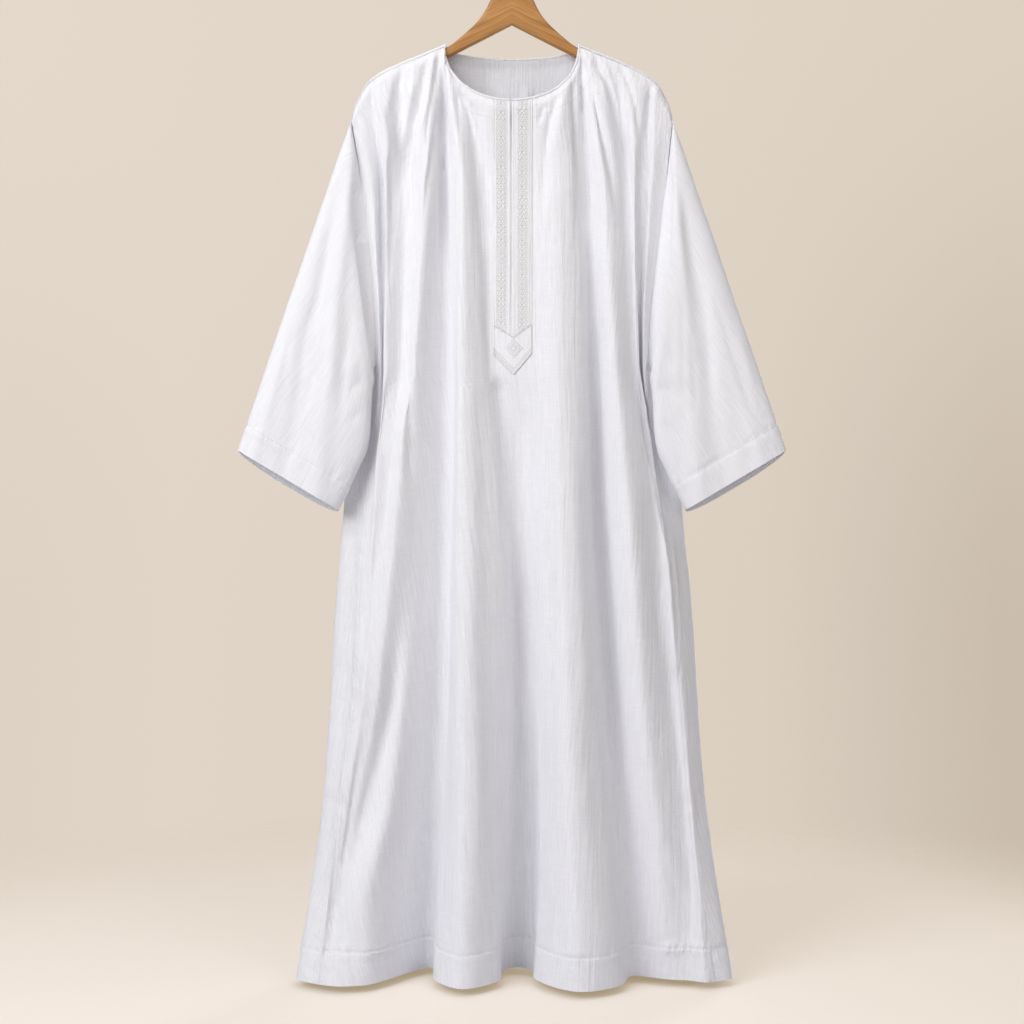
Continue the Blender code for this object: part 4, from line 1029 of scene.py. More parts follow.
def sleeve_half(side, panel):
    """Control rings of one half of a sleeve, from the armhole seam to the cuff."""
    sign = 1 if panel == "front" else -1
    mirror = -1 if side == "left" else 1
    seam, inward = armhole_half(side, panel)
    steps = np.linalg.norm(np.diff(seam, axis=0), axis=1)
    shares = np.concatenate([[0], np.cumsum(steps)])
    shares /= shares[-1]
    evens = 0.5 - 0.5 * np.cos(np.pi * np.arange(len(seam)) / (len(seam) - 1))
    (start_x, start_z), (next_x, next_z) = SLEEVE_UNDER[:2]
    down = np.array([mirror * (next_x - start_x), 0, next_z - start_z])
    down = down / np.linalg.norm(down)
    away = np.where((shares < 0.5)[:, None], -inward, np.array([mirror, 0.0, 0.0]))
    turned, start, over = ARMHOLE_DOWN
    away = blend(away, down, turned * rise(shares, start, over)[:, None])
    away /= np.linalg.norm(away, axis=1, keepdims=True)
    closer, start, over = ARMHOLE_CLOSER
    step = blend(*SLEEVE_EDGE_STEP, smooth(shares * ARMHOLE_STEP_GROW))
    step = step * (1 - closer * rise(shares, start, over))
    fold = seam + away * step[:, None]
    fold[:, 1] -= sign * SLEEVE_EDGE_OUT * np.sin(np.pi * np.clip(shares, 0, 1)) ** ARMHOLE_ROUND
    rings = [seam, fold]
    rings += [sleeve_ring(side, along, shares, evens, sign) for along in SLEEVE_RINGS]
    return rings, seam - away * ARMHOLE_LEAD


def sleeve_relief(grid, side, front):
    """How far each point of a sleeve moves out of its section; front is its turn to the front."""
    x = grid[:, :, 0]
    z = grid[:, :, 2]
    own = crease_heights(x, z, SLEEVE_CREASES[side])
    other = crease_heights(-x, z, SLEEVE_CREASES["right" if side == "left" else "left"])
    shorter, lower = SLEEVE_WAVES
    relief = blend(other, own, rise(front, *FRONT_OF_SLEEVE)) + lower * cloth_unevenness(x * shorter, z)
    down = way_down(grid)
    left = down[-1] - down
    across, _ = grid_lengths(grid)
    over, share = CREASES_FROM_CUFF
    relief *= smooth(down / CREASES_FROM_ARMHOLE) * smooth((left - CUFF_DEPTH) / over + share)
    relief += hem_form(left, CUFF_DEPTH, CUFF_TROUGH, across, TUCK_SEEDS[side])
    height, place, start = ARMHOLE_TUCKS
    relief += height * seam_puckers(down - place, across, TUCK_SEEDS["armhole"]) * smooth(down / start)
    return relief


def build_sleeve(side):
    """A sleeve and its grid."""
    front, before_front = sleeve_half(side, "front")
    back, before_back = sleeve_half(side, "back")
    controls = [np.concatenate([f, b[::-1][1:-1]]) for f, b in zip(front, back)]
    before = np.concatenate([before_front, before_back[::-1][1:-1]])
    after = controls[-1] * 2 - controls[-2]
    grid = np.array(through(controls, before, after, [SLEEVE_STEPS] * (len(controls) - 1)))
    normals = grid_normals(grid, True)
    if normals[:, len(front[0]) // 2, 1].mean() > 0:
        normals = -normals
    grid = grid + normals * sleeve_relief(grid, side, -normals[:, :, 1])[:, :, None]
    return shell("sleeve_" + side + "_cloth", grid, closed=True, flip=side == "right"), grid


# ---------------------------------------------------------------- binding and placket

def edge_points(grid, row, columns, sign):
    """Points of a panel's neck edge with its outward normals; sign is -1 on the front."""
    across = grid[row, np.array(columns) + 1] - grid[row, np.array(columns) - 1]
    down = grid[row + 1, columns] - grid[row, columns]
    normals = np.cross(across, down)
    normals *= np.sign(normals[:, 1:2] * sign)
    return grid[row, columns], normals / np.linalg.norm(normals, axis=1, keepdims=True)


def over_arm(front, back, front_column, back_column, side):
    """Neck edge points over the arm, from the front to the back."""
    points = []
    normals = []
    for grid, column, sign, order in (
            (front, front_column, -1, range(TURN_ROWS - 1, 0, -1)),
            (back, back_column, 1, range(1, TURN_ROWS))):
        for row in order:
            lean = 1 - row / TURN_ROWS
            normal = np.array([BINDING_LEAN * side * lean, sign * (1 - lean), lean])
            points.append(grid[row, column])
            normals.append(normal / np.linalg.norm(normal))
    return np.array(points), np.array(normals)


def neck_loop(front, back):
    """The panels' neck edge with its normals, from the slit round to the slit."""
    inside, behind = (
        [c for c, x in enumerate(column_tops(side)) if abs(x) <= NECK_HALF + SAME_PLACE]
        for side in ("front", "back"))
    slit = slit_column()
    right = over_arm(front, back, inside[-1], behind[-1], 1)
    parts = [
        edge_points(front, TURN_ROWS, list(range(slit, inside[0] - 1, -1)), -1),
        over_arm(front, back, inside[0], behind[0], -1),
        edge_points(back, TURN_ROWS, behind, 1),
        [values[::-1] for values in right],
        edge_points(front, TURN_ROWS, list(range(inside[-1], slit - 1, -1)), -1),
    ]
    points, normals = (np.concatenate(values) for values in zip(*parts))
    points[0, 0] -= SLIT_HALF + SLIT_EDGE
    points[-1, 0] += SLIT_HALF + SLIT_EDGE
    return points, normals


def binding_frame(front, back):
    """The loop with its directions toward the neck's middle and out of the cloth."""
    points, normals = neck_loop(front, back)
    along = np.gradient(points, axis=0)
    along /= np.linalg.norm(along, axis=1, keepdims=True)
    away = np.cross(along, normals)
    away /= np.linalg.norm(away, axis=1, keepdims=True)
    centre = np.array([0, 0, shoulder_height(NECK_HALF)]) - points * (1, 0, 1)
    away *= np.sign((away * centre).sum(axis=1, keepdims=True))
    out = np.cross(away, along)
    out *= np.sign((out * normals).sum(axis=1, keepdims=True))
    return points, away, out


def build_binding(front, back):
    """The narrow bound edge round the neck."""
    points, away, out = binding_frame(front, back)
    height, waves = BINDING_TUCKS
    tucks = height * wander(np.arange(len(points)) * waves, np.zeros(len(points)), TUCK_SEEDS["binding"])
    over = rise(points[:, 2:], *BINDING_OVER_ARM)
    narrow = 1 - BINDING_FLATTER["away"] * over
    low = 1 - BINDING_FLATTER["out"] * over
    rings = [points + away * a * narrow + out * (b + tucks[:, None] * (b > 0)) * low
             for a, b in BINDING_SECTION]
    grid = np.stack(rings, axis=1)
    rows, sides = grid.shape[:2]
    faces = []
    for s in range(sides):
        t = (s + 1) % sides
        faces += [[k * sides + s, k * sides + t, (k + 1) * sides + t, (k + 1) * sides + s]
                  for k in range(rows - 1)]
    faces.append(list(reversed(range(sides))))
    faces.append([(rows - 1) * sides + s for s in range(sides)])
    mesh = bpy.data.meshes.new("neck_band")
    mesh.from_pydata((grid.reshape(-1, 3) * MM).tolist(), [], faces)
    turned_out(mesh)
    layer = mesh.uv_layers.new(name="cloth")
    lengths = np.cumsum(np.linalg.norm(np.diff(points, axis=0, prepend=points[:1]), axis=1))
    for loop in mesh.loops:
        ring, side = divmod(loop.vertex_index, sides)
        layer.data[loop.index].uv = (lengths[ring] * MM, side * MM)
    mesh.shade_smooth()
    return link("neck_band", mesh)


def turned_out(mesh, merge=0.0):
    """Make every face of a closed mesh look outward, after points this close are merged."""
    whole = bmesh.new()
    whole.from_mesh(mesh)
    if merge:
        bmesh.ops.remove_doubles(whole, verts=whole.verts, dist=merge)
    bmesh.ops.recalc_face_normals(whole, faces=whole.faces)
    whole.to_mesh(mesh)
    whole.free()


def finder(grid, kept=None):
    """A searchable copy of a grid's surface."""
    rows, columns = grid.shape[:2]
    index = np.arange(rows * columns).reshape(rows, columns)
    square = np.stack([index[:-1, :-1], index[1:, :-1], index[1:, 1:], index[:-1, 1:]], axis=-1)
    if kept is not None:
        square = square[kept[:-1, :-1] & kept[1:, :-1] & kept[1:, 1:] & kept[:-1, 1:]]
    points = (grid.reshape(-1, 3) * MM).tolist()
    return BVHTree.FromPolygons(points, square.reshape(-1, 4).tolist())


def drop(surface, places):
    """Points and normals, in millimetres, where lines from the front meet a surface at each (x, z)."""
    points = []
    normals = []
    for x, z in places:
        point, normal, _, _ = surface.ray_cast(Vector((x, DROP_FROM, z)) * MM, Vector((0, 1, 0)))
        if point is None:
            point, normal, _, _ = surface.find_nearest(Vector((x, DROP_NEAR, z)) * MM)
        points.append(point / MM)
        normals.append(-normal if normal.y > 0 else normal)
    return np.array(points), np.array(normals)


def v_height(x, side, low):
    """Height at x of a V that runs from the placket's borders to its middle."""
    border = np.where(x < PLACKET_MIDDLE, PLACKET_LEFT, PLACKET_RIGHT)
    return blend(side, low, (x - border) / (PLACKET_MIDDLE - border))


def slit_edge(z, sign):
    """x of a band's edge at the slit, which gapes at the neck."""
    gape = sum(least + more * rise(z, start, over) for least, more, start, over in SLIT_EDGE_GAPES)
    return SLIT_X + sign * gape


def laid_patch(name, surface, x, z, relief, zone):
    """A patch on the front: points at x and z, raised off the cloth by the relief."""
    points, normals = drop(surface, zip(x.ravel(), z.ravel()))
    points = points.reshape(x.shape + (3,))
    normals = normals.reshape(x.shape + (3,))
    grid = points + normals * (PLACKET_LIFT + PLACKET_WALL + relief)[:, :, None]
    return shell(name, grid, thick=PLACKET_WALL, zone=zone), grid


def build_band(side, surface):
    """One embroidered band, with its raised border, sunk stitch lines and folded edge."""
    border = PLACKET_LEFT if side == "left" else PLACKET_RIGHT
    sign = -1 if side == "left" else 1
    edge = SLIT_X + sign * SLIT_EDGE
    shares = np.linspace(0, 1, BAND_COLUMNS)
    x = np.tile(blend(border, edge, shares), (BAND_ROWS, 1))
    if side == "right":
        x = x[:, ::-1]
        shares = shares[::-1]
    top = neck_edge(x[0], NECK_FRONT_LOW, NECK_FRONT_OUT)[0] - BAND_TOP_GAP
    low = v_height(x[0], *UPPER_V) + BAND_LOW_GAP[0]
    z = blend(top[None, :], low[None, :], np.linspace(0, 1, BAND_ROWS)[:, None])
    x = x + (slit_edge(z, sign) - edge) * smooth(shares * 2 - 1)[None, :]
    relief = sum(height * bell(x - line, half) for line, height, half in BAND_LINES[side])
    start, end = BAND_GROUND[side]
    return laid_patch("band_" + side, surface, x, z, relief, ((x > start) & (x < end)).astype(int))


def build_point(surface):
    """The placket's pointed end."""
    columns = np.linspace(PLACKET_LEFT, PLACKET_RIGHT, BAND_COLUMNS)
    x = np.tile(columns, (BAND_COLUMNS, 1))
    top = v_height(columns, *UPPER_V) - BAND_LOW_GAP[1]
    low = v_height(columns, *LOWER_V)
    z = blend(top[None, :], low[None, :], np.linspace(0, 1, BAND_COLUMNS)[:, None])
    inside = {
        "sides": np.minimum(x - PLACKET_LEFT, PLACKET_RIGHT - x),
        "lower": (z - v_height(x, *LOWER_V)) * POINT_LEAN["lower"],
        "upper": (v_height(x, *UPPER_V) - z) * POINT_LEAN["upper"],
    }
    relief = sum(height * bell(inside[edge] - place, half) for edge, place, half, height in POINT_RIDGES)
    middle, height, half_wide, half_high = DIAMOND
    share = np.abs(x - middle) / half_wide + np.abs(z - height) / half_high
    raised, end, over = DIAMOND_RAISED
    relief += raised * smooth((end - share) / over)
    zone = ((inside["lower"] < POINT_GROUND) | (share < 1)).astype(int)
    return laid_patch("band_point", surface, x, z, relief, zone)


# ---------------------------------------------------------------- stitches

def inset(grid, normals, distance, edge):
    """Points and normals of the line this far in from one edge of a grid."""
    both = np.concatenate([grid, normals], axis=2)
    if edge in ("left", "right"):
        both = both.transpose(1, 0, 2)
    if edge in ("right", "bottom"):
        both = both[::-1]
    steps = np.linalg.norm(np.diff(both[:, :, :3], axis=0, prepend=both[:1, :, :3]), axis=2)
    lengths = np.cumsum(steps, axis=0)
    line = np.array([[np.interp(distance, lengths[:, column], values) for values in both[:, column].T]
                     for column in range(both.shape[1])])
    return line[:, :3], line[:, 3:]


def outward(grid, closed=False):
    """Normals of a grid's points, on the cloth's outer side."""
    normals = grid_normals(grid, closed)
    centre = np.array([0, 10, 0])
    if closed:
        centre = grid.mean(axis=1, keepdims=True)
    side = np.sign(((grid - centre) * normals)[:, :, 1].sum())
    return normals * side


def row_tree(name, shapes):
    """Lays the shapes in a row along lines, one group of them at every pitch, flat on the cloth."""
    tree = bpy.data.node_groups.new(name, "GeometryNodeTree")
    for label, kind in (("Lines", "NodeSocketGeometry"), ("Pitch", "NodeSocketFloat"),
                        ("Uneven", "NodeSocketFloat"), ("Thread", "NodeSocketMaterial")):
        tree.interface.new_socket(label, in_out="INPUT", socket_type=kind)
    tree.interface.new_socket("Stitches", in_out="OUTPUT", socket_type="NodeSocketGeometry")
    given = node(tree, "NodeGroupInput").outputs
    bead = node(tree, "GeometryNodeMeshUVSphere", Segments=7, Rings=4, Radius=0.5 * MM).outputs["Mesh"]
    group = tree.nodes.new("GeometryNodeJoinGeometry")
    for along, across, long, wide, high, turn in shapes:
        shape = node(tree, "GeometryNodeTransform", Geometry=bead, Scale=(long, wide, high),
                     Translation=(along * MM, across * MM, 0), Rotation=(0, 0, math.radians(turn)))
        tree.links.new(shape.outputs["Geometry"], group.inputs["Geometry"])
    curve = node(tree, "GeometryNodeMeshToCurve", Mesh=given["Lines"])
    spaced = node(tree, "GeometryNodeResampleCurve", {"mode": "LENGTH"}, Curve=curve,
                  Length=given["Pitch"])
    out = node(tree, "GeometryNodeInputNamedAttribute", {"data_type": "FLOAT_VECTOR"}, Name="out")
    tangent = node(tree, "GeometryNodeInputTangent").outputs["Tangent"]
    facing = node(tree, "FunctionNodeAlignRotationToVector", {"axis": "X"}, Vector=tangent)
    flat = node(tree, "FunctionNodeAlignRotationToVector", {"axis": "Z", "pivot_axis": "X"},
                Rotation=facing, Vector=out.outputs["Attribute"])
    most = node(tree, "ShaderNodeMath", {"operation": "ADD"}, _0=1.0, _1=given["Uneven"])
    least = node(tree, "ShaderNodeMath", {"operation": "SUBTRACT"}, _0=1.0, _1=given["Uneven"])
    size = node(tree, "FunctionNodeRandomValue", _2=least, _3=most, Seed=STITCH_SEED)
    laid = node(tree, "GeometryNodeInstanceOnPoints", Points=spaced, Scale=size.outputs[1],
                Instance=group, Rotation=flat)
    real = node(tree, "GeometryNodeRealizeInstances", Geometry=laid)
    even = node(tree, "GeometryNodeSetShadeSmooth", Geometry=real)
    painted = node(tree, "GeometryNodeSetMaterial", Geometry=even, Material=given["Thread"])
    node(tree, "NodeGroupOutput", Stitches=painted)
    return tree


def sew(name, shape, lines, thread):
    """A piece made of one kind of stitch along lines of (points, normals)."""
    pitch, uneven, shapes = ROW_SHAPES[shape]
    mesh = bpy.data.meshes.new(name)
    edges = []
    count = 0
    for points, _ in lines:
        edges += [(count + k, count + k + 1) for k in range(len(points) - 1)]
        count += len(points)
    mesh.from_pydata((np.concatenate([line[0] for line in lines]) * MM).tolist(), edges, [])
    out = mesh.attributes.new("out", "FLOAT_VECTOR", "POINT")
    out.data.foreach_set("vector", np.concatenate([line[1] for line in lines]).astype(np.float32).ravel())
    made = link(name, mesh)
    rows = made.modifiers.new("rows", "NODES")
    rows.node_group = row_tree(shape, shapes)
    given = {item.name: item.identifier for item in rows.node_group.interface.items_tree
             if item.in_out == "INPUT"}
    rows[given["Pitch"]] = pitch * MM
    rows[given["Uneven"]] = uneven
    rows[given["Thread"]] = thread
    return settle(made)


def straight(a, b, step=2.0):
    """Evenly spaced (x, z) places from a to b."""
    count = max(2, int(math.dist(a, b) / step) + 1)
    shares = [k / (count - 1) for k in range(count)]
    return [(blend(a[0], b[0], share), blend(a[1], b[1], share)) for share in shares]


def garment_seams(panels, sleeves):
    """Lines of running stitches on the panels and sleeves."""
    lines = []
    below = TURN_ROWS + armhole_rows() + 2
    for side in ("front", "back"):
        grid = panels[side]
        normals = outward(grid)
        lines.append(inset(grid, normals, HEM_DEPTH, "bottom"))
        for edge in ("left", "right"):
            for distance in SIDE_STITCH:
                points, outs = inset(grid, normals, distance, edge)
                lines.append((points[below:-2], outs[below:-2]))
    for grid in sleeves.values():
        points, outs = inset(grid, outward(grid, True), CUFF_DEPTH, "bottom")
        lines.append((np.append(points, points[:1], axis=0), np.append(outs, outs[:1], axis=0)))
    return lines


def facing_line(surface):
    """The line that holds the neck's facing, on both sides of the placket."""
    start = float(shoulder_height(NECK_HALF)) - TURN_DROP
    half_high = NECK_FRONT_LOW - start
    lines = []
    for first, last in FACING_ARCS:
        places = []
        for k in range(FACING_STEPS + 1):
            angle = math.pi * blend(first, last, k / FACING_STEPS)
            across, down = math.cos(angle), math.sin(angle)
            out = (across / NECK_HALF, down / half_high)
            depth = FACING_DEPTH / math.hypot(*out)
            x = NECK_HALF * across + depth * out[0]
            if not PLACKET_LEFT - FACING_GAP < x < PLACKET_RIGHT + FACING_GAP:
                places.append((x, start + half_high * down + depth * out[1]))
        lines.append(drop(surface, places))
    return lines


def sewn_between(surface, *corners):
    """A line of stitches laid on a surface through the corners."""
    places = []
    for a, b in zip(corners, corners[1:]):
        places += straight(a, b)[1 if places else 0:]
    return drop(surface, places)


def band_end(x, above=0.0):
    """A place at x on the V where the bands end, or this far above it."""
    return x, float(v_height(np.array(x), *UPPER_V)) + above


def band_lines(side, surface, lines):
    """A band's braid, its borders, the grey line of painted shade along its top and the echoes of its V."""
    middle = BAND_MIDDLE[side]
    start, end = BAND_GROUND[side]
    border = BAND_LINES[side][0 if side == "left" else 2][0]
    for kind, x, below_neck, above_v in (
            ("braid", middle, 5, 9), ("fine", start, 2, 1),
            ("fine", end, 2, 1), ("cord", border, 1.5, 0.5)):
        lines[kind].append(sewn_between(surface, (x, NECK_FRONT_LOW - below_neck), band_end(x, above_v)))
    lines["grey"].append(sewn_between(surface, (start + 1, TOP_BORDER), (end - 1, TOP_BORDER)))
    if side == "right":
        lines["knots"].append(
            sewn_between(surface, (SEED_ROW, TOP_BORDER - 3), (SEED_ROW, PLACKET_V_SIDE - 2)))
    for echo in V_ECHOES:
        lines["fine"].append(sewn_between(surface, band_end(start, echo), band_end(end, echo)))


def diamond_lines(surface, lines):
    """The diamond's two squares, its shaded and grey rims, which are painted shade, and the star in its
    middle.
    """
    middle, height, half_wide, half_high = DIAMOND
    for kind, share in (("cord", 1.0), ("fine", DIAMOND_INNER)):
        top, right, low, left = (
            (middle + across * half_wide * share, height + up * half_high * share)
            for across, up in ((0, 1), (1, 0), (0, -1), (-1, 0)))
        lines[kind].append(sewn_between(surface, top, right, low, left, top))
    rim = DIAMOND_RIM["side"]
    top = (middle, height + half_high * DIAMOND_RIM["top"])
    low = (middle, height - half_high * rim)
    left, right = ((middle + sign * half_wide * rim, height) for sign in (-1, 1))
    lines["shaded"].append(sewn_between(surface, right, low))
    lines["grey"].append(sewn_between(surface, top, right))
    lines["grey"].append(sewn_between(surface, top, left))
    lines["star"].append(drop(surface, [(middle, height + 0.1), (middle, height - 0.1)]))


def point_lines(surface, lines):
    """The cords along the point's edges, their echoes inside it and the painted shade along its edges.

    Each row of thread lies beside the one before it, so its ends are a few tenths of a
    millimetre to a few millimetres inside the outline.
    """
    inward, side_up, tip_up = POINT_ECHO_LEAN
    # grey on the left and deep grey on the right: painted shade beside the point's edges
    for x, shade in ((PLACKET_LEFT + POINT_BORDER, "grey"), (PLACKET_RIGHT - POINT_BORDER, "shaded")):
        rows = [("cord", (x, PLACKET_V_SIDE - 1.5), (x, PLACKET_CORNER + 1)),
                ("cord", (x, PLACKET_CORNER + 0.8), (PLACKET_MIDDLE, PLACKET_TIP + 1.8))]
        rows += [("fine", (blend(x, PLACKET_MIDDLE, echo / inward), PLACKET_CORNER + echo * side_up),
                  (PLACKET_MIDDLE, PLACKET_TIP + echo * tip_up)) for echo in POINT_ECHOES]
        rows += [("fine", (x, PLACKET_V_SIDE - 3.5), (PLACKET_MIDDLE, PLACKET_V_LOW - 3.0)),
                 (shade, (x, PLACKET_V_SIDE - 1.9), (PLACKET_MIDDLE, PLACKET_V_LOW - 1.6)),
                 (shade, (x, PLACKET_CORNER + 0.2), (PLACKET_MIDDLE, PLACKET_TIP + 0.6))]
        for kind, start, end in rows:
            lines[kind].append(sewn_between(surface, start, end))


def placket_lines(bands):
    """The embroidery's lines by kind: braid, cord, fine, shaded and grey (both painted shade), knots and
    star.
    """
    lines = {kind: [] for kind in ("braid", "cord", "fine", "shaded", "grey", "knots", "star")}
    for side in ("left", "right"):
        band_lines(side, finder(bands[side]), lines)
    surface = finder(bands["point"])
    diamond_lines(surface, lines)
    point_lines(surface, lines)
    return lines


# ---------------------------------------------------------------- hanger

def build_wood():
    """The two joined wooden arms, cut as one outline with rounded edges."""
    curve = bpy.data.curves.new("wooden_arms", "CURVE")
    curve.dimensions = "2D"
    curve.fill_mode = "BOTH"
    curve.extrude = (ARM_THICKNESS / 2 - ARM_ROUND) * MM
    curve.bevel_depth = ARM_ROUND * MM
    curve.offset = -ARM_ROUND * MM
    curve.bevel_resolution = 5
    half = [np.array(point, float) for point in HANGER_HALF]
    lead_in, lead_out = HANGER_LEADS
    steps = [HANGER_STEPS] * (len(half) - 1)
    right = [tuple(point) for point in through(half, half[0] - lead_in, half[-1] - lead_out, steps)]
    outline = right + [(0, HANGER_NOTCH)] + [(-x, z) for x, z in reversed(right)]
    spline = curve.splines.new("POLY")
    spline.points.add(len(outline) - 1)
    for point, (x, z) in zip(spline.points, outline):
        point.co = (x * MM, z * MM, 0, 1)
    spline.use_cyclic_u = True
    flat = link("wooden_arms_curve", curve)
    flat.rotation_euler = (math.pi / 2, 0, 0)
    return curve_to_mesh(flat, "wooden_arms")


def curve_to_mesh(made, name):
    """Turn a curve object into a mesh object at the origin."""
    bpy.context.view_layer.update()
    mesh = bpy.data.meshes.new_from_object(made.evaluated_get(bpy.context.evaluated_depsgraph_get()))
    mesh.transform(made.matrix_world)
    bpy.data.objects.remove(made)
    turned_out(mesh, MERGE * MM)
    mesh.shade_smooth()
    mesh.set_sharp_from_angle(angle=math.radians(SHARP_EDGES["hanger"]))
    return link(name, mesh)


def build_hook():
    """The steel wire: a bow from its tip round to the stem, and the stem down into the wood."""
    curve = bpy.data.curves.new("bent_hook", "CURVE")
    curve.dimensions = "3D"
    curve.bevel_depth = WIRE_RADIUS * MM
    curve.bevel_resolution = 4
    curve.use_fill_caps = True
    radius = HOOK_RADIUS + WIRE_RADIUS
    path = []
    for k in range(HOOK_STEPS + 1):
        angle = math.radians(blend(HOOK_FROM, HOOK_TO, k / HOOK_STEPS))
        path.append((radius * math.cos(angle), radius * math.sin(angle) - HOOK_RADIUS))
    end_x, end_z = path[-1]
    for k in range(1, STEM_STEPS + 1):
        share = k / STEM_STEPS
        path.append((end_x * float(1 - smooth(share)), blend(end_z, HANGER_TOP + STEM_RISE, share)))
    path.append((0, HANGER_TOP - STEM_SUNK))
    spline = curve.splines.new("POLY")
    spline.points.add(len(path) - 1)
    tip, steps = HOOK_TIP
    for k, (x, z) in enumerate(path):
        spline.points[k].co = (x * MM, 0, z * MM, 1)
        spline.points[k].radius = min(1.0, blend(tip, 1.0, k / steps))
    return curve_to_mesh(link("bent_hook_curve", curve), "bent_hook")


def build_ferrule():
    """A turned collar round the hook where it enters the wood."""
    count = len(FERRULE_PROFILE)
    points = []
    faces = []
    for k in range(FERRULE_SIDES):
        angle = 2 * math.pi * k / FERRULE_SIDES
        points += [(r * math.cos(angle) * MM, r * math.sin(angle) * MM, (HANGER_TOP + z) * MM)
                   for r, z in FERRULE_PROFILE]
        here, there = k * count, (k + 1) % FERRULE_SIDES * count
        for s in range(count):
            t = (s + 1) % count
            faces.append([here + s, there + s, there + t, here + t])
    mesh = bpy.data.meshes.new("turned_collar")
    mesh.from_pydata(points, [], faces)
    turned_out(mesh)
    mesh.shade_smooth()
    mesh.set_sharp_from_angle(angle=math.radians(SHARP_EDGES["collar"]))
    return link("turned_collar", mesh)


# ---------------------------------------------------------------- materials

COTTON_TONES = ("#F4F4F8", "#EFEFF3", "#E8E8ED")  # pale, middle, and between the slubs
# a darker copy of the cotton for the panels' inner side: painted shade inside the robe
INSIDE_SHADE_TONES = ("#E5E5E9", "#DFDFE4", "#D7D7DD")
# Lengths in millimetres
THREAD = 0.8               # real threads are 0.3 mm apart; drawn coarser so that they show
WEAVE_BUMP = (0.5, 0.25)   # strength, height
SLUB_STRETCH = {"down": (1.0, 0.035, 1.0), "across": (0.06, 1.0, 1.0)}
COTTON_TEXTURES = (
    # kind, way, size, detail, roughness, distortion, bump's strength, bump's height
    ("slub", "down", 2.381, 3.0, 0.6, 0.0, 0.9, 1.0),     # thicker threads, long down the cloth
    ("streak", "down", 6.061, 2.0, 0.5, 0.0, 0.8, 2.0),   # where the cloth was folded and wrung
    ("pick", "across", 2.632, 3.0, 0.6, 0.0, 0.7, 0.6),   # thicker threads across it
    ("crinkle", "body", 10.526, 4.0, 0.6, 0.6, 0.6, 1.4),
    ("rumple", "body", 29.412, 3.0, 0.55, 0.0, 0.6, 3.0),
)
SLUB_SHADE = (0.34, 0.62)
SLEEVE_ROUGH = 0.35        # the sleeves are smoother than the body
MOTTLE = 142.86
DRAWN_REACH = (1.5, 17)    # the tucks beside a row of stitches are full up to, and gone from
DRAWN_STRETCH = 0.22
DRAWN_TUCK = 7.407
DRAWN_PATCH = 62.5
DRAWN_PATCH_EDGES = (0.42, 0.62)
DRAWN_BUMP = (1.0, 3.5)
PLY = 0.3846
STITCHED_ROWS = 2.856
STITCHED_GRAIN = 1.1111
ARM_SLOPE = -27            # degrees that the grain leans with each arm
WOOD_GRAIN = (142.86, 16.667, 6.6667)  # along the arm, through it, across it
WOOD_PORES = (33.333, 2.0, 0.71429)
WOOD_TONES = ((0.28, "#A2682F"), (0.72, "#DCA25C"))
HAZE = 2.0


def colour(code):
    """Linear colour of an sRGB hex value."""
    values = [int(code[k:k + 2], 16) / 255 for k in (1, 3, 5)]
    return tuple(v / 12.92 if v <= 0.04045 else ((v + 0.055) / 1.055) ** 2.4 for v in values) + (1.0,)


def node(tree, kind, settings=None, **links):
    """Add a node with its settings, its sockets' values and its links; a _ in a name is a space.

    A node that is given for a socket is linked from its first output.
    """
    made = tree.nodes.new(kind)
    for name, value in (settings or {}).items():
        setattr(made, name, value)
    for name, value in links.items():
        socket = made.inputs[int(name[1:])] if name[1:].isdigit() else made.inputs[name.replace("_", " ")]
        if isinstance(value, bpy.types.Node):
            value = value.outputs[0]
        if isinstance(value, bpy.types.NodeSocket):
            tree.links.new(value, socket)
        else:
            socket.default_value = value
    return made


def finish(name, **sockets):
    """A new material and its tree, with the shader's constant sockets set."""
    made = bpy.data.materials.new(name)
    made.use_nodes = True
    tree = made.node_tree
    shader = tree.nodes["Principled BSDF"]
    for socket, value in sockets.items():
        shader.inputs[socket.replace("_", " ")].default_value = value
    return made, tree, shader


def per_metre(size):
    """A noise texture's scale for forms this many millimetres across."""
    return 1 / (size * MM)


def bands_scale(pitch):
    """A wave texture's scale for bands this many millimetres apart."""
    return math.pi / 10 * per_metre(pitch)


def set_stops(made, stops):
    """Give a colour ramp its (position, colour) stops."""
    elements = made.color_ramp.elements
    while len(elements) < len(stops):
        elements.new(0.5)
    for element, (position, code) in zip(elements, stops):
        element.position = position
        element.color = colour(code)


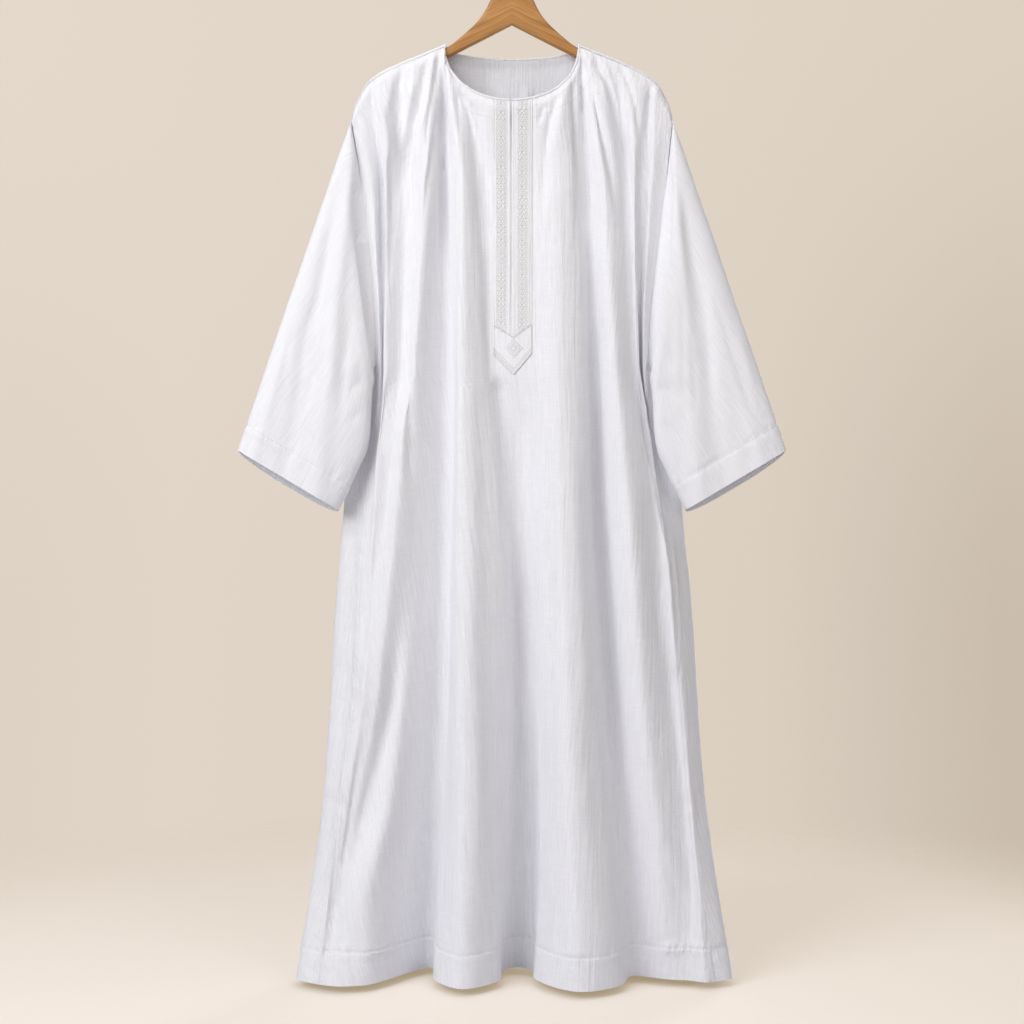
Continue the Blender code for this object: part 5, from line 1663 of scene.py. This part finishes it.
def drawn_tucks(tree, place, up, offset):
    """Height of the small upright tucks along a row of stitches.

    up is the way across the row and offset its distance from the middle of the frame.
    """
    parts = node(tree, "ShaderNodeSeparateXYZ", Vector=place)
    side = node(tree, "ShaderNodeMath", {"operation": "ABSOLUTE"}, _0=parts.outputs["X"])
    folded = node(tree, "ShaderNodeCombineXYZ", X=side, Y=parts.outputs["Y"],
                  Z=parts.outputs["Z"]).outputs["Vector"]
    way = node(tree, "ShaderNodeVectorMath", {"operation": "DOT_PRODUCT"}, _0=folded, _1=up)
    away = node(tree, "ShaderNodeMath", {"operation": "ADD"}, _0=way.outputs["Value"], _1=offset)
    apart = node(tree, "ShaderNodeMath", {"operation": "ABSOLUTE"}, _0=away)
    near = node(tree, "ShaderNodeMapRange", {"interpolation_type": "SMOOTHSTEP"}, _3=1.0, _4=0.0,
                Value=apart, _1=DRAWN_REACH[0] * MM, _2=DRAWN_REACH[1] * MM)
    turned = node(tree, "ShaderNodeMapping", Vector=folded, Scale=(1.0, 1.0, DRAWN_STRETCH),
                  Rotation=(0, -math.atan2(up[0], up[2]), 0))
    tucks = node(tree, "ShaderNodeTexNoise", Vector=turned, Scale=per_metre(DRAWN_TUCK), Detail=2.0)
    patches = node(tree, "ShaderNodeTexNoise", Vector=place, Scale=per_metre(DRAWN_PATCH), Detail=1.0)
    some = node(tree, "ShaderNodeMapRange", Value=patches,
                _1=DRAWN_PATCH_EDGES[0], _2=DRAWN_PATCH_EDGES[1])
    high = node(tree, "ShaderNodeMath", {"operation": "MULTIPLY"}, _0=tucks, _1=near)
    patchy = node(tree, "ShaderNodeMath", {"operation": "MULTIPLY"}, _0=high, _1=some)
    return patchy


def woven_cotton(name, up, offset, tones=COTTON_TONES, rough=1.0):
    """Bleached plain-weave cotton: matt, with slub threads both ways, fine crinkles and a soft nap.

    rough is how strongly the slubs, streaks and crinkles stand up.
    """
    made, tree, shader = finish(name, Roughness=0.9, Sheen_Weight=0.1,
                                Sheen_Roughness=0.5, Specular_IOR_Level=0.2)
    place = node(tree, "ShaderNodeTexCoord").outputs["Object"]
    cloth = node(tree, "ShaderNodeTexCoord").outputs["UV"]
    ways = {way: node(tree, "ShaderNodeMapping", Vector=cloth, Scale=stretch)
            for way, stretch in SLUB_STRETCH.items()}
    ways["body"] = place
    warp, weft = (
        node(tree, "ShaderNodeTexWave", {"wave_type": "BANDS", "bands_direction": way}, Vector=cloth,
             Scale=bands_scale(2 * THREAD), Distortion=0.6, Detail=1.0).outputs["Fac"] for way in "XY")
    weave = node(tree, "ShaderNodeMath", {"operation": "MULTIPLY"}, _0=warp, _1=weft)
    reliefs = [(weave, *WEAVE_BUMP)]
    texture = {}
    for kind, way, size, detail, roughness, distortion, strength, height in COTTON_TEXTURES:
        texture[kind] = node(tree, "ShaderNodeTexNoise", Vector=ways[way], Scale=per_metre(size),
                             Detail=detail, Roughness=roughness, Distortion=distortion)
        reliefs.append((texture[kind], strength, height * rough))
    reliefs.append((drawn_tucks(tree, place, up, offset), *DRAWN_BUMP))
    bump = None
    for relief, strength, height in reliefs:
        under = {"Normal": bump} if bump else {}
        bump = node(tree, "ShaderNodeBump", Height=relief, Strength=strength, Distance=height * MM, **under)
    tree.links.new(bump.outputs["Normal"], shader.inputs["Normal"])
    mottle = node(tree, "ShaderNodeTexNoise", Vector=place, Scale=per_metre(MOTTLE), Detail=3.0)
    threads = node(tree, "ShaderNodeMix", {"data_type": "FLOAT"}, Factor=0.3,
                   _2=texture["slub"], _3=texture["pick"])
    lines = node(tree, "ShaderNodeMapRange", Value=threads, _1=SLUB_SHADE[0], _2=SLUB_SHADE[1])
    pale, middle, deep = (colour(tone) for tone in tones)
    tint = node(tree, "ShaderNodeMix", {"data_type": "RGBA"}, Factor=mottle, _6=pale, _7=middle)
    shade = node(tree, "ShaderNodeMix", {"data_type": "RGBA"}, Factor=lines, _6=deep, _7=tint.outputs[2])
    tree.links.new(shade.outputs[2], shader.inputs["Base Color"])
    return made


def sewing_thread(name, code):
    """Polyester sewing thread: a little glossier than the cloth."""
    made, tree, shader = finish(name, Roughness=0.55, Sheen_Weight=0.1)
    shader.inputs["Base Color"].default_value = colour(code)
    place = node(tree, "ShaderNodeTexCoord").outputs["Object"]
    ply = node(tree, "ShaderNodeTexNoise", Vector=place, Scale=per_metre(PLY), Detail=1.0)
    twist = node(tree, "ShaderNodeBump", Height=ply, Strength=0.4, Distance=0.2 * MM)
    tree.links.new(twist.outputs["Normal"], shader.inputs["Normal"])
    return made


def stitched_ground():
    """The bands' ground: cotton covered with close rows of flat white stitches."""
    made, tree, shader = finish("embroidered_ground", Roughness=0.7, Sheen_Weight=0.2)
    place = node(tree, "ShaderNodeTexCoord").outputs["Object"]
    rows = node(tree, "ShaderNodeTexWave", {"wave_type": "BANDS", "bands_direction": "DIAGONAL"},
                Vector=place, Scale=bands_scale(STITCHED_ROWS),
                Distortion=1.5, Detail=1.0, Detail_Scale=3.0)
    fine = node(tree, "ShaderNodeTexNoise", Vector=place, Scale=per_metre(STITCHED_GRAIN), Detail=2.0)
    tint = node(tree, "ShaderNodeMix", {"data_type": "RGBA"}, Factor=fine,
                _6=colour("#E4E3E6"), _7=colour("#CFCFD3"))
    tree.links.new(tint.outputs[2], shader.inputs["Base Color"])
    low = node(tree, "ShaderNodeBump", Height=rows.outputs["Fac"], Strength=0.5, Distance=0.4 * MM)
    nap = node(tree, "ShaderNodeBump", Height=fine, Strength=0.5, Distance=0.4 * MM, Normal=low)
    tree.links.new(nap.outputs["Normal"], shader.inputs["Normal"])
    return made


def varnished_beech():
    """Stained beech under satin varnish: straight grain that runs along each arm."""
    made, tree, shader = finish("varnished_beech", Roughness=0.38, Coat_Weight=0.25, Coat_Roughness=0.25)
    place = node(tree, "ShaderNodeTexCoord").outputs["Object"]
    parts = node(tree, "ShaderNodeSeparateXYZ", Vector=place)
    side = node(tree, "ShaderNodeMath", {"operation": "ABSOLUTE"}, _0=parts.outputs["X"])
    folded = node(tree, "ShaderNodeCombineXYZ", X=side, Y=parts.outputs["Y"], Z=parts.outputs["Z"])
    turned = node(tree, "ShaderNodeMapping", Vector=folded, Rotation=(0, math.radians(ARM_SLOPE), 0))
    along, fibre = (
        node(tree, "ShaderNodeMapping", Vector=turned, Scale=[per_metre(size) for size in sizes])
        for sizes in (WOOD_GRAIN, WOOD_PORES))
    grain = node(tree, "ShaderNodeTexNoise", Vector=along, Scale=1.0, Detail=6.0,
                 Roughness=0.6, Distortion=0.8)
    pores = node(tree, "ShaderNodeTexNoise", Vector=fibre, Scale=1.0, Detail=3.0)
    tones = node(tree, "ShaderNodeValToRGB", Fac=grain)
    set_stops(tones, WOOD_TONES)
    dark = node(tree, "ShaderNodeMix", {"data_type": "RGBA", "blend_type": "MULTIPLY"}, Factor=0.35,
                _6=tones, _7=pores)
    tree.links.new(dark.outputs[2], shader.inputs["Base Color"])
    bump = node(tree, "ShaderNodeBump", Height=pores, Strength=0.15, Distance=0.2 * MM)
    tree.links.new(bump.outputs["Normal"], shader.inputs["Normal"])
    return made


def drawn_steel():
    """Nickel-plated steel wire, drawn and polished: bright, with a faint uneven haze."""
    made, tree, shader = finish("drawn_steel", Metallic=1.0, Roughness=0.24)
    place = node(tree, "ShaderNodeTexCoord").outputs["Object"]
    haze = node(tree, "ShaderNodeTexNoise", Vector=place, Scale=per_metre(HAZE), Detail=2.0)
    tint = node(tree, "ShaderNodeMix", {"data_type": "RGBA"}, Factor=haze,
                _6=colour("#D9D8D6"), _7=colour("#BDBCBA"))
    tree.links.new(tint.outputs[2], shader.inputs["Base Color"])
    return made


# ---------------------------------------------------------------- main

def dress(piece, materials, slot, *nodes):
    """Give a piece its materials and body, and hide the nodes that it stands for; slot is not used."""
    places = piece.data.materials
    for number, material in enumerate(materials):
        if number == len(places):
            places.append(material)
        elif not places[number]:
            places[number] = material
    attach(piece, "root")
    if nodes:
        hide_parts(*nodes)


def area_light(name, place, size, power, spread, aim, tone):
    lamp = bpy.data.lights.new(name, "AREA")
    lamp.shape = "DISK"
    lamp.size = size
    lamp.energy = power
    lamp.spread = math.radians(spread)
    lamp.color = colour(tone)[:3]
    made = bpy.data.objects.new(name, lamp)
    bpy.context.scene.collection.objects.link(made)
    made.location = place
    made.rotation_euler = (Vector(aim) - Vector(place)).to_track_quat("-Z", "Y").to_euler()


def build_world():
    """Even light for the cloth, and a warm wall colour with painted shade: darker to the right and lower
    down behind it.
    """
    world = bpy.data.worlds.new("room")
    bpy.context.scene.world = world
    world.use_nodes = True
    tree = world.node_tree
    view = node(tree, "ShaderNodeTexCoord").outputs["Generated"]
    way = node(tree, "ShaderNodeSeparateXYZ", Vector=view)
    across = node(tree, "ShaderNodeMapRange", Value=way.outputs["X"], _1=-WALL_ACROSS, _2=WALL_ACROSS)
    height = node(tree, "ShaderNodeMapRange", {"interpolation_type": "SMOOTHSTEP"},
                  Value=way.outputs["Z"], _1=WALL_RISE[0], _2=WALL_RISE[1])
    ramps = []
    for stops in (WALL_LOW, WALL_HIGH):
        ramps.append(node(tree, "ShaderNodeValToRGB", Fac=across))
        set_stops(ramps[-1], stops)
    wall = node(tree, "ShaderNodeMix", {"data_type": "RGBA"}, Factor=height, _6=ramps[0], _7=ramps[1])
    back = tree.nodes["Background"]
    tree.links.new(wall.outputs[2], back.inputs["Color"])
    even = node(tree, "ShaderNodeBackground", Color=colour(AMBIENT_TONE), Strength=AMBIENT)
    seen = node(tree, "ShaderNodeLightPath").outputs["Is Camera Ray"]
    mix = node(tree, "ShaderNodeMixShader", _0=seen, _1=even, _2=back)
    tree.links.new(mix.outputs["Shader"], tree.nodes["World Output"].inputs["Surface"])


def build_floor():
    """A pale floor that fades out far from the robe, so that no edge of it shows."""
    bpy.ops.mesh.primitive_circle_add(vertices=96, radius=FLOOR_FADE[1] + 0.1, fill_type="NGON",
                                      location=(0, 0, FLOOR))
    floor = bpy.context.active_object
    floor.name = "floor"
    made, tree, shader = finish("floor_paint", Roughness=0.9)
    shader.inputs["Base Color"].default_value = colour(FLOOR_TONE)
    glow_strength, glow_tone = FLOOR_GLOW
    shader.inputs["Emission Color"].default_value = colour(glow_tone)
    seen = node(tree, "ShaderNodeLightPath").outputs["Is Camera Ray"]
    glow = node(tree, "ShaderNodeMath", {"operation": "MULTIPLY"}, _0=seen, _1=glow_strength)
    tree.links.new(glow.outputs["Value"], shader.inputs["Emission Strength"])
    place = node(tree, "ShaderNodeTexCoord").outputs["Object"]
    far = node(tree, "ShaderNodeVectorMath", {"operation": "LENGTH"}, _0=place).outputs["Value"]
    gone = node(tree, "ShaderNodeMapRange", {"interpolation_type": "SMOOTHSTEP"}, Value=far,
                _1=FLOOR_FADE[0], _2=FLOOR_FADE[1]).outputs["Result"]
    clear = node(tree, "ShaderNodeBsdfTransparent")
    mix = node(tree, "ShaderNodeMixShader", _0=gone, _1=shader, _2=clear)
    tree.links.new(mix.outputs["Shader"], tree.nodes["Material Output"].inputs["Surface"])
    floor.data.materials.append(made)


def build_room():
    """The camera, a pale floor, a backdrop colour with painted shade and soft lights."""
    scene = bpy.context.scene
    scene.view_settings.view_transform = "Standard"
    camera = bpy.data.cameras.new("camera")
    camera.lens = CAMERA_LENS
    camera.sensor_width = 36
    eye = bpy.data.objects.new("camera", camera)
    scene.collection.objects.link(eye)
    eye.location = (0, -CAMERA_DISTANCE, CAMERA_HEIGHT)
    eye.rotation_euler = (math.radians(90), 0, 0)
    scene.camera = eye
    build_world()
    build_floor()
    for light in LIGHTS:
        area_light(*light)


def make_finishes():
    """Every material of the robe and its hanger, by a short name."""
    hem_row = (0.0, 0.0, 1.0), -(HEIGHTS["hem"] + HEM_DEPTH) * MM
    (top_x, top_z), (under_x, under_z) = SLEEVE_TOP[-1], SLEEVE_UNDER[-1]
    width = math.dist(SLEEVE_TOP[-1], SLEEVE_UNDER[-1])
    up_sleeve = ((under_z - top_z) / width, 0.0, (top_x - under_x) / width)
    cuff_row = up_sleeve, -(up_sleeve[0] * top_x + up_sleeve[2] * top_z + CUFF_DEPTH) * MM
    return {
        "cotton": woven_cotton("bleached_plain_weave_cotton", *hem_row),
        # the panels' inner side: a darker copy of the cotton, as painted shade
        "inside": woven_cotton("cotton_inside_painted_shade", *hem_row, tones=INSIDE_SHADE_TONES),
        "sleeves": woven_cotton("bleached_plain_weave_cotton_sleeves", *cuff_row, rough=SLEEVE_ROUGH),
        "white": sewing_thread("white_thread", "#F8F7F5"),
        "seam": sewing_thread("seam_thread", "#DAD8DA"),
        # grey and deep grey threads: painted shade beside the cords and in the braid's eyelets
        "grey": sewing_thread("painted_shade_thread", "#B1AEAB"),
        "deep": sewing_thread("painted_deep_shade_thread", "#A3A0A4"),
        "ground": stitched_ground(),
        "beech": varnished_beech(),
        "steel": drawn_steel(),
    }


def sew_all(seams, lines, finishes):
    """The stitches of the seams and of the embroidery, a piece for each kind."""
    for name, shape, sewn, thread in (
            ("seam_stitches", "running_stitch", seams, "seam"),
            ("braid_rows", "leaf_braid", lines["braid"], "white"),
            # grey beads in the eyelets: painted shade of the holes
            ("braid_eyelet_shade", "braid_hollow_shade", lines["braid"], "grey"),
            ("border_cords", "satin_cord", lines["cord"], "white"),
            ("fine_cords", "fine_cord", lines["fine"], "white"),
            # painted shade lines: deep grey where the shade is strong, grey where it is fainter
            ("shaded_cords", "shade_cord", lines["shaded"], "deep"),
            ("painted_shade_cords", "shade_cord", lines["grey"], "grey"),
            ("seed_knots", "seed_knots", lines["knots"], "white"),
            ("diamond_star", "star", lines["star"], "white")):
        made = sew(name, shape, sewn, finishes[thread])
        dress(made, [finishes[thread]], "cloth" if name == "seam_stitches" else "embroidery")


def main():
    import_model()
    finishes = make_finishes()
    cotton, inside = finishes["cotton"], finishes["inside"]

    front, front_grid, front_kept = build_front()
    back, back_grid = build_back()
    surface = finder(front_grid, front_kept)
    bands = {}
    band_grids = {}
    for side in ("left", "right"):
        bands[side], band_grids[side] = build_band(side, surface)
    bands["point"], band_grids["point"] = build_point(surface)
    binding = build_binding(front_grid, back_grid)
    sleeves = {}
    sleeve_grids = {}
    for side in ("left", "right"):
        sleeves[side], sleeve_grids[side] = build_sleeve(side)

    for piece, name in [(front, "robe_front"), (back, "robe_back")]:
        settle(piece)
        # the panels' inner side takes the darker copy of the cotton: painted shade inside the robe
        dress(piece, [cotton, inside], "cloth", name)
    for side, sleeve in sleeves.items():
        settle(sleeve)
        dress(sleeve, [finishes["sleeves"], cotton], "cloth", "sleeve_" + side)
    for side, band in bands.items():
        settle(band)
        dress(band, [cotton, finishes["ground"]], "embroidery", "placket_" + side)
    dress(binding, [cotton], "cloth", "neck_binding")

    seams = garment_seams({"front": front_grid, "back": back_grid}, sleeve_grids) + facing_line(surface)
    sew_all(seams, placket_lines(band_grids), finishes)
    for piece, finish_name, slot, name in (
            (build_wood(), "beech", "wood", "hanger_wood"),
            (build_hook(), "steel", "steel", "hanger_hook"),
            (build_ferrule(), "steel", "steel", "hanger_ferrule")):
        dress(piece, [finishes[finish_name]], slot, name)

    build_room()
    bpy.context.view_layer.update()


main()
